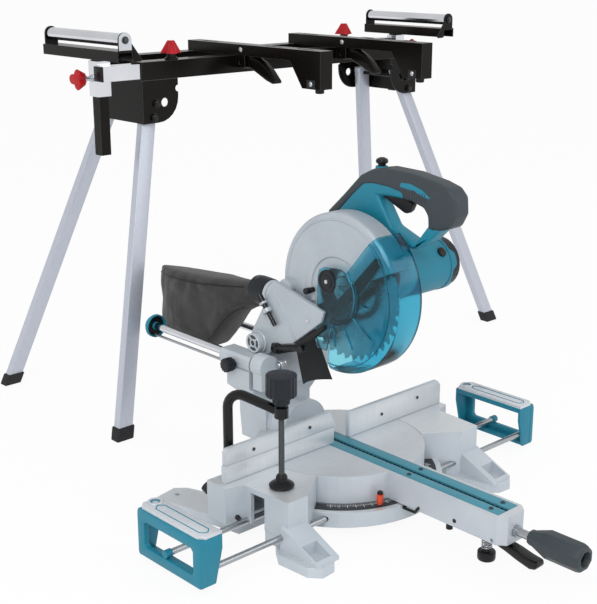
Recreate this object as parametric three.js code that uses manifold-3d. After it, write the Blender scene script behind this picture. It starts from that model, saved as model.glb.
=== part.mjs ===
// A 216 mm sliding compound mitre saw standing in front of its folding leg stand.
// Millimetres, +Z up, +X along the fence and the stand's beam, +Y to the back.
// Every body of the machine is a group that sits at the centre of its joint.
import * as THREE from 'three';
import { mergeVertices } from 'three/addons/utils/BufferGeometryUtils.js';
import Module from 'manifold-3d';

const wasm = await Module();
wasm.setup();

// ---------------------------------------------------------------- clearances
const gap = 0.3;            // between pieces that touch, turn or slide on each other
const sheet = 3;            // folded steel sheet of the stand

// ---------------------------------------------------------------- stand sizes
const beamLow = 598;        // underside of the two rails
const rail = 32;            // square section of a rail
const railWall = 2.8;
const railY = 63;           // centre line of a rail from the stand's centre
const beamEnd = 359;
const crossTube = [26, 13]; // section of the cross tubes that join the rails
const crossTubeX = [-190, 0, 190];
const extensionTube = rail - 2 * railWall - 2 * gap;
const extensionEnd = 437;   // outer end of a closed extension
const extensionInside = 120;
const post = 20;            // square roller post
const postX = 418;
const postLow = { left: 470, right: 512 };
const sleeveWall = 3.2;
const sleeveLow = 573;
const sleeveHigh = 634;
const rollerZ = 673;
const rollerHalf = 112;
const rollerRadius = 11;
const journal = 4;
const cradleHalf = 17;      // folded cradle under a roller
const cradleFloor = rollerZ - rollerRadius - 7;
const cradleLow = cradleFloor - 18;
const cradleTab = 13;       // half width of the end tabs that hold the roller
const bracketLength = 78;   // leg bracket along the beam
const bracketDepth = 76;
const bracketRound = 44;
const bracketHalf = 79;     // outer faces of a bracket's front and rear sheets
const legWide = 29.4;
const legThick = 16.4;
const legWall = 1.8;
const legPivot = [330, 53.5, 556];
const legTop = 14;          // a leg's end above its pivot
const foot = [509, 190];    // where the feet stand, from the stand's centre
const footCap = [5, 22];    // how far a foot cap stands out, and its height
const legPin = 4;
const boltHead = [7, 5];
const lockDrop = 24;        // lock bolt below the leg pivot
const armX = 132;           // saw mounting arms from the stand's centre
const armHalf = 14.6;
const armFront = -307;
const armBack = 62;
const armTall = 20;
const armWall = 2.5;
const armNoseLow = 584;
const armNose = [46, 78];   // length of an arm's nose at its bottom and under the arm
const hookDeep = 16;
const leverPin = [-93, 617];
const leverHub = 11;
const leverHalf = 8;
const postKnobOut = 18;     // bare stud between a post sleeve and its knob
const knobRadius = 20;
const knobNeck = 9;
const knobThick = 17;
const stud = 3;
const railKnobX = 282;

// ---------------------------------------------------------------- saw sizes
const sawPlace = [-382, -598]; // turntable centre from the stand's centre
const tableTop = 87;
const turntableRadius = 132;
const turntableLow = 44.5;
const turntableGap = 1;
const ringInner = 118;      // base ring that carries the mitre scale
const ringRadius = 160;
const ringTop = 43;
const ringLow = 20;
const ringRearTop = 36;     // the ring is lower where the tilting arm sweeps over it
const tableLow = 30;
const tableEnd = 240;       // outer ends of the fixed tables
const tableBack = 30;
const deck = 8;             // thickness of the tables' tops
const wall = 6;
const footHoles = [[195, -151], [210, 142]];
const footHole = 4;
const footRib = [[170, 212], 52]; // ramp on a front foot, across the foot and its height
const endOpening = [-60, -33];   // gap in a table's outer end, along Y
const centrePin = 11;
const hubRadius = 36;
const fenceThick = 8;
const fenceLow = 27;        // height of the fixed left fence
const fenceHigh = 42;       // height of the right fence
const slidingFence = 26;    // height of the sliding fence on the left one
const fenceGap = [-12, 21]; // inner ends of the left and the right fence
const fenceEnd = 238;
const fenceRib = [3, 5];    // rib that guides the sliding fence
const noseHalf = 27;        // half width of the turn base's arm
const noseEnd = -340;       // front end of that arm
const noseLow = 44.5;
const kerfHalf = 22;
const kerfThick = 4;
const kerfSlot = 4;         // half width of the slot between the kerf boards
const kerfFront = -326;
const kerfBack = 60;
const channelHalf = 14;     // half width of the blade channel under the kerf boards
const channelFront = -275;
const channelLow = 58;
const gripZ = 62;
const gripRadius = 20;
const gripShaft = 6;
const leveller = [-293, 4, 13]; // place along the arm, shaft and knob radius
const leverAxis = [-321, 49];   // detent lever's pin
const wingFace = [322, 360];    // inner and outer face of an open extension wing
const wingY = [-105, 35];
const wingLow = 12;
const wingWeb = 9;
const wingOpening = [[-86, 18], [27, 70]]; // the hand-hold in a wing's outer web, across and up
const rodBoss = 8;
const wingRod = 4.5;
const wingRodEnd = 126;
const wingRodY = [-97, -25];
const wingRodZ = 33;
const clampTip = [222, -20.6, 37]; // wing clamp screw, from the rod to its head
const clampHead = [229, 36, 66];
const clampRadius = 3.5;
const visePost = [-207, 20, 7]; // place and radius
const viseScrew = [-176, -60, 4.5];
const viseTop = 209;
const viseBar = 7.5;         // radius of the bent bar
const viseElbow = 222;      // height of the bar's middle over the post
const viseEye = 201;        // height of the bar's middle at the screw
const viseKnob = [20, 46];
const bevelBoss = 46;       // radius of the tilting joint's bosses
const bevelFront = 78;      // front of the fixed boss
const bevelJoint = 111;     // where the fixed and the tilting boss meet
const bevelPin = 9;
const columnHalf = 48;
const columnBack = 182;
const saddleTop = 155;
const pipe = [56, 195, 6.5]; // slide pipes: half spacing, height and radius
const pipeY = [101, 392];
const pipeCap = [20, 17];   // radius and length of a pipe's end cap
const housingOuter = 19;
const housingY = [128, 200];
const carriageY = [100, 125];
const pivot = [144, 224];   // head pivot
const pivotPin = 7;
const pivotEar = 19;
const hingeHalf = 24;
const earOuter = 42;
const blade = [-12, 334];   // blade centre
const bladeRadius = 108;
const bladeHalf = 1;
const bladeTeeth = 40;
const boreRadius = 12.5;
const caseOuter = 119;
const caseRim = 5;
const caseX = [-20, 22];
const caseSide = 2.5;
const caseArc = [25, 215];  // degrees from the front over the top
const guardRim = [121.5, 124];
const guardHalf = 27.5;     // outer faces of the lower guard from the blade's plane
const guardWall = 2.2;
const guardHub = 26;
const gearBoss = 46;        // boss that the guard turns on
const gearCase = 53;
const gearX = [30, 62];
const gearFace = [42, 50];
const motor = [-56, 359];
const motorRadius = 41;
const motorWall = 4;
const motorEnd = 140;
const capEnd = 168;
const teeth = { spindle: 40, motor: 13, rise: 0.75, fall: 1.1 };
const spindleRadius = 8;
const motorShaft = 5;
const handleX = [32, 63];
const duct = [294, 19, 16]; // dust nozzle: height, outer and inner radius
const ductY = [101, 150, 190];
const bagHalf = 34;
const bagEnd = 436;
const triggerPin = [-40, 487];
const button = [-34, 6, 11]; // lock-off button: place, stem and cap radius

// ---------------------------------------------------------------- finishes
const finishes = {
  blackSteel: [0x1b1a18, 0.45, 0.6],
  chrome: [0xd8d8dc, 0.15, 1.0],
  zinc: [0xb9bcc0, 0.35, 0.9],
  aluminium: [0xaab0bd, 0.35, 0.8],
  red: [0xb5121b, 0.4, 0.0],
  greyCast: [0xc3c8cb, 0.45, 0.4],
  greySteel: [0xa9b3c4, 0.45, 0.5],
  steel: [0x9a9c9f, 0.3, 0.9],
  teal: [0x1f7f8f, 0.45, 0.0],
  guardTeal: [0x39a9c4, 0.12, 0.0],
  darkPlastic: [0x3d4347, 0.6, 0.0],
  blackPlastic: [0x17181a, 0.5, 0.0],
  cloth: [0x3a3633, 0.95, 0.0],
  copper: [0xa0643a, 0.4, 0.8],
};

function finish(name) {
  const [color, roughness, metalness] = finishes[name];
  return new THREE.MeshStandardMaterial({ color, roughness, metalness });
}

// ---------------------------------------------------------------- shape tools
function solid(geometry) {
  geometry.deleteAttribute('normal');
  geometry.deleteAttribute('uv');
  const merged = mergeVertices(geometry, 1e-4);
  const vertProperties = new Float32Array(merged.attributes.position.array);
  const triVerts = new Uint32Array(merged.index.array);
  return new wasm.Manifold(new wasm.Mesh({ numProp: 3, vertProperties, triVerts }));
}

function box([x0, x1], [y0, y1], [z0, z1]) {
  const geometry = new THREE.BoxGeometry(x1 - x0, y1 - y0, z1 - z0);
  geometry.translate((x0 + x1) / 2, (y0 + y1) / 2, (z0 + z1) / 2);
  return solid(geometry);
}

// A body turned on one axis. The profile's points are [place along the axis, radius].
function turned(axis, [a, b], profile, sides = 16) {
  const points = [new THREE.Vector2(0, profile[0][0])];
  for (const [along, radius] of profile) points.push(new THREE.Vector2(radius, along));
  points.push(new THREE.Vector2(0, profile.at(-1)[0]));
  const geometry = new THREE.LatheGeometry(points, sides);
  if (axis === 'x') geometry.rotateZ(-Math.PI / 2).translate(0, a, b);
  if (axis === 'y') geometry.translate(a, 0, b);
  if (axis === 'z') geometry.rotateX(Math.PI / 2).translate(a, b, 0);
  return solid(geometry);
}

function rod(axis, radius, [from, to], centre, sides = 16) {
  return turned(axis, centre, [[from, radius], [to, radius]], sides);
}

// A flat outline made thick along one axis: 'x' takes [y, z], 'y' takes [x, z], 'z' takes [x, y].
function plate(axis, [from, to], outline, curveSegments = 12) {
  const shape = outline instanceof THREE.Shape ? outline
    : new THREE.Shape(outline.map(([u, v]) => new THREE.Vector2(u, v)));
  const geometry = new THREE.ExtrudeGeometry(shape, { depth: to - from, bevelEnabled: false, curveSegments });
  const turn = new THREE.Matrix4();
  if (axis === 'x') turn.set(0, 0, 1, from, 1, 0, 0, 0, 0, 1, 0, 0, 0, 0, 0, 1);
  if (axis === 'y') turn.set(1, 0, 0, 0, 0, 0, -1, to, 0, 1, 0, 0, 0, 0, 0, 1);
  if (axis === 'z') turn.set(1, 0, 0, 0, 0, 1, 0, 0, 0, 0, 1, from, 0, 0, 0, 1);
  geometry.applyMatrix4(turn);
  return solid(geometry);
}

function mirrorOutline(outline) {
  return outline.map(([x, y]) => [-x, y]).reverse();
}

// Points of an arc about [y, z], in degrees from the front (-Y) over the top.
function arc([y, z], radius, from, to, steps) {
  return Array.from({ length: steps + 1 }, (_, i) => {
    const angle = THREE.MathUtils.degToRad(from + (to - from) * i / steps);
    return [y - radius * Math.cos(angle), z + radius * Math.sin(angle)];
  });
}

// A body turned on a slanted axis; the profile runs from the first point towards the second.
function aimed(from, to, profile, sides = 12) {
  const points = [new THREE.Vector2(0, profile[0][0])];
  for (const [along, radius] of profile) points.push(new THREE.Vector2(radius, along));
  points.push(new THREE.Vector2(0, profile.at(-1)[0]));
  const geometry = new THREE.LatheGeometry(points, sides);
  const heading = new THREE.Vector3(...to).sub(new THREE.Vector3(...from)).normalize();
  geometry.applyQuaternion(new THREE.Quaternion().setFromUnitVectors(new THREE.Vector3(0, 1, 0), heading));
  return solid(geometry.translate(...from));
}

// A box between two heights whose middle leans from one point at the bottom to another on top.
function leaning([x0, y0, z0], [x1, y1, z1], wide, thick) {
  const geometry = new THREE.BoxGeometry(wide, thick, z1 - z0);
  const lean = new THREE.Matrix4();
  const [slopeX, slopeY] = [(x1 - x0) / (z1 - z0), (y1 - y0) / (z1 - z0)];
  lean.set(1, 0, slopeX, (x0 + x1) / 2, 0, 1, slopeY, (y0 + y1) / 2, 0, 0, 1, (z0 + z1) / 2, 0, 0, 0, 1);
  return solid(geometry.applyMatrix4(lean));
}

// An outline moved inwards by a wall's thickness; corners run anticlockwise.
function inset(outline, thickness) {
  return outline.map(([x, y], i) => {
    const [px, py] = outline.at(i - 1);
    const [nx, ny] = outline[(i + 1) % outline.length];
    const before = new THREE.Vector2(x - px, y - py).normalize();
    const after = new THREE.Vector2(nx - x, ny - y).normalize();
    const inward = new THREE.Vector2(-before.y - after.y, before.x + after.x).normalize();
    const reach = thickness / (inward.x * -before.y + inward.y * before.x);
    return [x + inward.x * reach, y + inward.y * reach];
  });
}

// A star handle with a number of lobes, as a flat outline about [u, v].
function lobed([u, v], radius, valley, lobes) {
  return Array.from({ length: lobes * 6 }, (_, i) => {
    const angle = Math.PI * i / (lobes * 3);
    const reach = valley + (radius - valley) * (0.5 + 0.5 * Math.cos(angle * lobes)) ** 0.7;
    return [u + reach * Math.cos(angle), v + reach * Math.sin(angle)];
  });
}

// A gear's outline about [y, z] with straight-sided teeth.
function gear([y, z], pitch, count, phase) {
  const corners = [[-0.34, -teeth.fall], [-0.13, teeth.rise], [0.13, teeth.rise], [0.34, -teeth.fall]];
  return Array.from({ length: count }, (_, tooth) => corners.map(([turn, reach]) => {
    const angle = 2 * Math.PI * (tooth + turn + phase) / count;
    return [y + (pitch + reach) * Math.cos(angle), z + (pitch + reach) * Math.sin(angle)];
  })).flat();
}

function joined(first, ...others) {
  return others.reduce((sum, next) => sum.add(next), first);
}

function cut(from, ...others) {
  return others.reduce((rest, next) => rest.subtract(next), from);
}

// ---------------------------------------------------------------- bodies
function body(name, parent, x, y, z) {
  const group = new THREE.Group();
  group.name = name;
  group.userData.at = new THREE.Vector3(x, y, z);
  group.position.copy(group.userData.at).sub(parent.userData.at ?? new THREE.Vector3());
  parent.add(group);
  return group;
}

function piece(name, group, shape, finishName) {
  const { vertProperties, triVerts } = shape.getMesh();
  const geometry = new THREE.BufferGeometry();
  geometry.setAttribute('position', new THREE.BufferAttribute(vertProperties, 3));
  geometry.setIndex(new THREE.BufferAttribute(triVerts, 1));
  const { x, y, z } = group.userData.at;
  geometry.translate(-x, -y, -z);
  const mesh = new THREE.Mesh(geometry, finish(finishName));
  mesh.name = name;
  group.add(mesh);
}

const root = body('mitre_saw_on_stand', new THREE.Group(), 0, 0, 0);

// ---------------------------------------------------------------- stand: beam and brackets
const railTop = beamLow + rail;
const railMid = beamLow + rail / 2;
const sides = [['left', -1], ['right', 1]];

function around(middle, half) {
  return [middle - half, middle + half];
}

// A pair of values in rising order, each multiplied by the side's sign.
function toward(sign, [near, far]) {
  return sign > 0 ? [near, far] : [-far, -near];
}

const rails = [-railY, railY].map((y) => cut(
  box([-beamEnd, beamEnd], around(y, rail / 2), [beamLow, railTop]),
  box([-beamEnd - 1, beamEnd + 1], around(y, rail / 2 - railWall), around(railMid, rail / 2 - railWall)),
));
const crossTubes = crossTubeX.map((x) => box(
  around(x, crossTube[0] / 2), around(0, railY - rail / 2 + 1), [beamLow, beamLow + crossTube[1]],
));
const studBores = sides.map(([, sign]) => rod(
  'z', stud + gap, [railTop - railWall - 1, railTop + 1], [sign * railKnobX, sign * railY],
));
piece('stand_beam', root, cut(joined(...rails, ...crossTubes), ...studBores), 'blackSteel');

function bracketOutline(sign) {
  const [outer, inner] = [beamEnd, beamEnd - bracketLength];
  const low = beamLow - bracketDepth;
  const top = beamLow - gap;
  const round = Array.from({ length: 7 }, (_, i) => {
    const angle = Math.PI / 2 * i / 6;
    return [
      inner + bracketRound * (1 - Math.cos(angle)),
      low + bracketRound * (1 - Math.sin(angle)),
    ];
  });
  return [[outer, top], [inner, top], ...round, [outer, low]].map(([x, z]) => [sign * x, z]);
}

for (const [side, sign] of sides) {
  const [pinX, , pinZ] = legPivot;
  const lockPlace = [sign * (pinX + 6), pinZ - lockDrop];
  const headFace = bracketHalf + boltHead[1];
  const nutFace = bracketHalf - sheet - 3;
  const sheets = [-1, 1].map((end) => plate(
    'y', toward(end, [bracketHalf - sheet, bracketHalf]), bracketOutline(sign),
  ));
  const sheetAcross = box(
    toward(sign, [beamEnd - sheet, beamEnd]), [-bracketHalf, bracketHalf], [beamLow - bracketDepth, beamLow - gap],
  );
  const holes = [[pinX - 19, pinZ + 1, 8], [beamEnd - bracketLength, pinZ + 24, 6]].map(([x, z, radius]) => (
    rod('y', radius, [-bracketHalf - 1, bracketHalf + 1], [sign * x, z], 16)
  ));
  const pivotBolt = [
    rod('y', legPin, [-headFace, headFace], [sign * pinX, pinZ], 16),
    ...[-1, 1].map((end) => rod('y', boltHead[0], toward(end, [bracketHalf, headFace]), [sign * pinX, pinZ], 6)),
  ];
  const lockBolts = [-1, 1].map((end) => rod('y', boltHead[0], toward(end, [nutFace, headFace]), lockPlace, 6));
  piece(`${side}_leg_bracket`, root, joined(
    cut(joined(...sheets, sheetAcross), ...holes), ...pivotBolt, ...lockBolts,
  ), 'blackSteel');
}

// ---------------------------------------------------------------- stand: legs
for (const [side, sign] of sides) {
  for (const [end, way] of [['front', -1], ['rear', 1]]) {
    const [pinX, pinY, pinZ] = [sign * legPivot[0], way * legPivot[1], legPivot[2]];
    const floor = [sign * foot[0], way * foot[1], 0];
    const along = (z) => [
      floor[0] + (pinX - floor[0]) * z / pinZ, floor[1] + (pinY - floor[1]) * z / pinZ, z,
    ];
    const top = along(pinZ + legTop);
    const tube = cut(
      joined(
        leaning(floor, top, legWide, legThick),
        leaning(floor, along(footCap[1]), legWide + footCap[0], legThick + footCap[0]),
      ),
      leaning(along(footCap[1] / 2), along(pinZ + legTop + 1), legWide - 2 * legWall, legThick - 2 * legWall),
      rod('y', legPin + gap, [pinY - legThick, pinY + legThick], [pinX, pinZ]),
    );
    const name = `${end}_${side}_leg`;
    piece(name, body(`${name}_body`, root, pinX, pinY, pinZ), tube, 'greySteel');
  }
}

// ---------------------------------------------------------------- stand: extensions and rollers
for (const [side, sign] of sides) {
  const tubeY = sign * railY;
  const postY = sign * (railY - extensionTube / 2 - gap - sleeveWall - post / 2 - 0.4);
  const postHalf = post / 2;
  const sleeveHalf = postHalf + gap + sleeveWall;
  const extension = body(`${side}_extension_body`, root, sign * beamEnd, tubeY, railMid);
  const tube = cut(
    box(toward(sign, [extensionInside, extensionEnd]), around(tubeY, extensionTube / 2),
      around(railMid, extensionTube / 2)),
    box(toward(sign, [extensionInside - 1, extensionEnd - 4]), around(tubeY, extensionTube / 2 - 2),
      around(railMid, extensionTube / 2 - 2)),
  );
  const sleeveBlock = cut(
    box(around(sign * postX, sleeveHalf), around(postY, sleeveHalf), [sleeveLow, sleeveHigh]),
    box(around(sign * postX, postHalf + gap), around(postY, postHalf + gap), [sleeveLow - 1, sleeveHigh + 1]),
  );
  const lug = box(
    around(sign * postX, sleeveHalf - 3), toward(sign, [railY - extensionTube / 2 - 2, railY - extensionTube / 2 + 1]),
    around(railMid, extensionTube / 2 - 2),
  );
  const knobZ = 605;
  const outward = toward(sign, [postX + postHalf, postX + sleeveHalf + 1]);
  const bore = rod('x', stud + gap, outward, [postY, knobZ]);
  piece(`${side}_extension`, extension, cut(joined(tube, sleeveBlock, lug), bore), 'chrome');

  const rising = body(`${side}_roller_post_body`, extension, sign * postX, postY, cradleFloor);
  const inner = rollerHalf + 1;
  const cradle = [
    box(around(sign * postX, postHalf), around(postY, postHalf), [postLow[side], cradleFloor - 1]),
    box(around(sign * postX, cradleHalf), around(0, inner + sheet), [cradleFloor - sheet, cradleFloor]),
    ...[-1, 1].map((edge) => box(
      toward(edge, [cradleHalf - sheet, cradleHalf]).map((x) => x + sign * postX),
      around(0, inner + sheet), [cradleLow, cradleFloor],
    )),
    ...[-1, 1].map((end) => {
      const tab = new THREE.Shape();
      tab.moveTo(sign * postX - cradleTab, cradleFloor - 1);
      tab.lineTo(sign * postX + cradleTab, cradleFloor - 1);
      tab.lineTo(sign * postX + cradleTab, rollerZ);
      tab.absarc(sign * postX, rollerZ, cradleTab, 0, Math.PI);
      return plate('y', toward(end, [inner, inner + sheet]), tab);
    }),
  ];
  const journals = rod('y', journal + gap, around(0, inner + sheet + 1), [sign * postX, rollerZ]);
  piece(`${side}_roller_bracket`, rising, cut(joined(...cradle), journals), 'blackSteel');

  const turning = body(`${side}_roller_body`, rising, sign * postX, 0, rollerZ);
  const axle = inner + sheet + 2;
  piece(`${side}_roller`, turning, turned('y', [sign * postX, rollerZ], [
    [-axle, journal], [-rollerHalf, journal], [-rollerHalf, rollerRadius],
    [rollerHalf, rollerRadius], [rollerHalf, journal], [axle, journal],
  ]), 'chrome');

  const knobFace = postX + sleeveHalf + postKnobOut;
  const postKnob = body(`${side}_post_knob_body`, extension, sign * knobFace, postY, knobZ);
  const shank = rod('x', stud, toward(sign, [postX + postHalf + gap, knobFace + 1]), [postY, knobZ], 12);
  const neck = rod('x', knobNeck, toward(sign, [knobFace, knobFace + 6]), [postY, knobZ], 16);
  const star = plate('x', toward(sign, [knobFace + 5, knobFace + 5 + knobThick]), lobed([postY, knobZ], knobRadius, 11, 3));
  piece(`${side}_post_knob`, postKnob, joined(shank, neck, star), 'red');

  const top = railTop + 5;
  const place = [sign * railKnobX, tubeY];
  const railKnob = body(`${side}_rail_knob_body`, root, ...place, top);
  piece(`${side}_rail_knob`, railKnob, joined(
    rod('z', stud, [railMid + extensionTube / 2 + gap, top + 1], place, 12),
    rod('z', knobNeck, [top, top + 6], place, 16),
    plate('z', [top + 5, top + 5 + knobThick], lobed(place, knobRadius, 11, 3)),
  ), 'red');
}

// ---------------------------------------------------------------- stand: mounting arms
const armLow = railTop + gap;
const armTop = armLow + armTall;
for (const [side, sign] of sides) {
  const x = sign * armX;
  const arm = body(`${side}_mount_arm_body`, root, x, 0, armTop);
  const inside = armHalf - armWall;
  const [pinY, pinZ] = leverPin;
  const profile = [
    [armBack, armLow], [armBack, armTop], [armFront, armTop], [armFront, armNoseLow],
    [armFront + armNose[0], armNoseLow], [armFront + armNose[1], armLow],
  ];
  const bar = cut(
    plate('x', around(x, armHalf), profile),
    box(around(x, inside), [armFront + armWall, armBack + 1], [armNoseLow - 1, armTop - armWall]),
    ...[-255, -170, 10].map((y) => box(around(x, 4), around(y, 22), [armTop - armWall - 1, armTop + 1])),
  );
  const hookFront = -railY + rail / 2 + gap;
  const hook = box(around(x, armHalf), [hookFront, hookFront + sheet], [railTop - hookDeep, armTop - 1]);
  const cheeks = [-1, 1].map((edge) => box(
    toward(edge, [inside, armHalf]).map((u) => u + x), [pinY - 13, pinY + 12], [pinZ - 9, armLow + 1],
  ));
  const bore = rod('x', stud + gap, around(x, armHalf + 1), leverPin);
  piece(`${side}_mount_arm`, arm, cut(joined(bar, hook, ...cheeks), bore), 'blackSteel');

  const lever = body(`${side}_arm_lever_body`, arm, x, ...leverPin);
  const swept = new THREE.Shape();
  swept.moveTo(pinY - 2, pinZ - 9);
  swept.quadraticCurveTo(pinY - 44, pinZ - 12, pinY - 74, pinZ - 42);
  swept.lineTo(pinY - 86, pinZ - 36);
  swept.quadraticCurveTo(pinY - 62, pinZ + 6, pinY - 2, pinZ + 9);
  piece(`${side}_arm_lever`, lever, joined(
    rod('x', leverHub, around(x, leverHalf), leverPin),
    rod('x', stud, around(x, armHalf + 2), leverPin),
    plate('x', around(x, leverHalf - 2), swept, 6),
  ), 'blackPlastic');
}

// ---------------------------------------------------------------- saw: base and fences
const saw = body('saw', root, 0, 0, 0);
saw.position.set(...sawPlace, 0);

// The right half of an outline on both sides of the blade's plane.
function bothSides(outline) {
  return [outline, mirrorOutline(outline)];
}

const tableOutline = [
  [120, tableBack], [114.5, -67.5], [150, -94], [168, -106], [206, -106], [212, -20], [tableEnd, -12],
  [tableEnd, tableBack],
];
const pocketOutline = inset([
  [137, tableBack], [137, -76], [150, -88], [168, -87], [206, -87], [212, -14], [tableEnd, -8],
  [tableEnd, tableBack],
], wall);
const frontFoot = [[150, -90], [168, -160], [182, -174], [206, -176], [220, -160], [224, -106], [206, -80]];
const rearFoot = [[150, 0], [206, 0], [212, 30], [234, 128], [238, 156], [200, 164], [184, 150], [150, 60]];
const frontColumn = [[150, -92], [168, -106], [206, -106], [208, -60], [150, -60]];
const rearColumn = [[150, -8], [206, -8], [208, tableBack], [150, tableBack]];

const table = joined(
  ...bothSides(tableOutline).map((outline) => plate('z', [tableLow, tableTop], outline)),
);
const pockets = bothSides(pocketOutline).map((outline) => plate('z', [tableLow - 1, tableTop - deck], outline));
const turntableRoom = rod('z', turntableRadius + turntableGap, [ringTop, tableTop + 1], [0, 0], 48);
const ring = cut(
  rod('z', ringRadius, [ringLow, ringTop], [0, 0], 48),
  rod('z', ringInner, [ringLow - 1, ringTop + 1], [0, 0], 36),
  box([-ringRadius, ringRadius], [38, ringRadius + 1], [ringRearTop, ringTop + 1]),
);
const spokes = joined(
  rod('z', hubRadius - 8, [ringLow, ringTop], [0, 0]),
  box([-ringInner - 2, ringInner + 2], [-12, 12], [ringLow, ringLow + 9]),
  box([-12, 12], [-ringInner - 2, ringInner + 2], [ringLow, ringLow + 7]),
);
const feet = [frontFoot, rearFoot].flatMap((outline) => bothSides(outline).map((half) => plate('z', [0, 15], half)));
const columns = [frontColumn, rearColumn].flatMap((outline) => (
  bothSides(outline).map((half) => plate('z', [12, tableLow + 2], half))
));
const footRamps = sides.map(([, sign]) => cut(
  plate('x', toward(sign, footRib[0]), [[-96, footRib[1]], [-96, 14], [-171, 14], [-171, 19]]),
  box(toward(sign, [181, 209]), [-165, -137], [15, footRib[1]]),
));
const endGaps = sides.map(([, sign]) => box(
  toward(sign, [196, 216]), endOpening, [tableLow - 1, tableTop - deck],
));
const postSocket = rod('z', visePost[2] + 6, [50, tableTop], visePost);
const clampBosses = sides.map(([, sign]) => aimed(
  [sign * clampTip[0], clampTip[1] + 8, clampTip[2] + 6.4], [sign * clampHead[0], clampHead[1], clampHead[2]],
  [[0, 9], [40, 9]],
));
const rodBores = wingRodY.map((y) => rod('x', wingRod + gap, [-fenceEnd - 20, fenceEnd + 20], [y, wingRodZ], 12));
const clampBores = sides.map(([, sign]) => aimed(
  [sign * clampTip[0], clampTip[1], clampTip[2]], [sign * clampHead[0], clampHead[1], clampHead[2]],
  [[-4, clampRadius + gap], [70, clampRadius + gap]],
));
const footBores = footHoles.flatMap(([x, y]) => [-1, 1].map((sign) => rod('z', footHole, [-1, 16], [sign * x, y], 10)));
const baseShell = cut(joined(cut(table, turntableRoom, ...pockets), ring, ...feet, ...columns), ...footBores);
const base = cut(
  joined(cut(baseShell, ...endGaps), spokes, postSocket, ...clampBosses, ...footRamps),
  box([-fenceEnd - 20, fenceEnd + 20], [tableBack, tableBack + 30], [40, tableTop]),
  box([-fenceEnd - 20, fenceEnd + 20], [-100, tableBack + 30], [tableTop, tableTop + 20]),
  rod('z', visePost[2] + gap, [46, tableTop + 1], visePost),
  ...rodBores, ...clampBores,
);
const pin = rod('z', centrePin, [ringTop - 1, 53], [0, 0]);
piece('saw_base', saw, joined(base, pin), 'greyCast');

const fenceZ = tableTop + gap;
const fenceFoot = (sign, from) => box(toward(sign, [from, fenceEnd - 4]), [fenceThick - 1, 24], [fenceZ, fenceZ + 7]);
piece('right_fence', saw, joined(
  plate('y', [0, fenceThick], [
    [fenceGap[1], fenceZ], [fenceEnd, fenceZ], [fenceEnd, tableTop + fenceHigh - 8],
    [fenceEnd - 8, tableTop + fenceHigh], [fenceGap[1], tableTop + fenceHigh],
  ]),
  fenceFoot(1, 150),
), 'greyCast');

const leftTop = tableTop + fenceLow;
const ribZ = [leftTop - 1, leftTop + fenceRib[1]];
const leftFence = joined(
  plate('y', [0, fenceThick], [[-fenceEnd, fenceZ], [fenceGap[0], fenceZ], [fenceGap[0], leftTop], [-fenceEnd, leftTop]]),
  box([-fenceEnd + 12, -50], around(fenceThick / 2, fenceRib[0] / 2), ribZ),
  cut(fenceFoot(-1, 150), rod('z', visePost[2] + 6, [fenceZ - 1, leftTop], visePost)),
);
piece('left_fence', saw, leftFence, 'greyCast');

const slider = body('sliding_fence_body', saw, -120, fenceThick / 2, leftTop + slidingFence / 2);
piece('sliding_fence', slider, cut(
  plate('y', [0, fenceThick], [
    [-fenceEnd + 4, leftTop + gap], [-7, leftTop + gap], [-20, leftTop + slidingFence],
    [-fenceEnd + 4, leftTop + slidingFence],
  ]),
  box([-fenceEnd - 1, 1], around(fenceThick / 2, fenceRib[0] / 2 + gap), [leftTop, leftTop + fenceRib[1] + gap]),
), 'greyCast');

// ---------------------------------------------------------------- saw: extension wings
for (const [side, sign] of sides) {
  const [near, far] = wingFace;
  const wing = body(`${side}_wing_body`, saw, sign * near, 0, wingRodZ);
  const webX = toward(sign, [far - wingWeb, far]);
  const web = joined(
    cut(
      box(webX, wingY, [wingLow, tableTop]),
      box(toward(sign, [far - wingWeb - 1, far + 1]), ...wingOpening),
    ),
    ...wingRodY.map((y) => rod('x', rodBoss, webX, [y, wingRodZ])),
  );
  const top = box(toward(sign, [near, far]), wingY, [tableTop - deck, tableTop]);
  const sole = box(toward(sign, [far - 26, far]), wingY, [wingLow, wingLow + 6]);
  const ends = [wingY[0], wingY[1] - wingWeb / 2].map((y) => plate('y', [y, y + wingWeb / 2], [
    [far - 26, wingLow], [far, wingLow], [far, tableTop - deck / 2], [near, tableTop - deck / 2], [near, tableTop - 26],
  ].map(([x, z]) => [sign * x, z])));
  const rods = wingRodY.map((y) => rod('x', wingRod, toward(sign, [wingRodEnd, far - 2]), [y, wingRodZ], 12));
  piece(`${side}_wing`, wing, joined(web, top, sole, ...ends, ...rods), 'greyCast');

  const [tip, head] = [clampTip, clampHead].map(([x, y, z]) => [sign * x, y, z]);
  const length = Math.hypot(head[0] - tip[0], head[1] - tip[1], head[2] - tip[2]);
  const screw = body(`${side}_wing_screw_body`, saw, ...head);
  piece(`${side}_wing_screw`, screw, aimed(tip, head, [
    [0, clampRadius], [length, clampRadius], [length, 9], [length + 10, 9],
  ]), 'blackPlastic');
}

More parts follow.
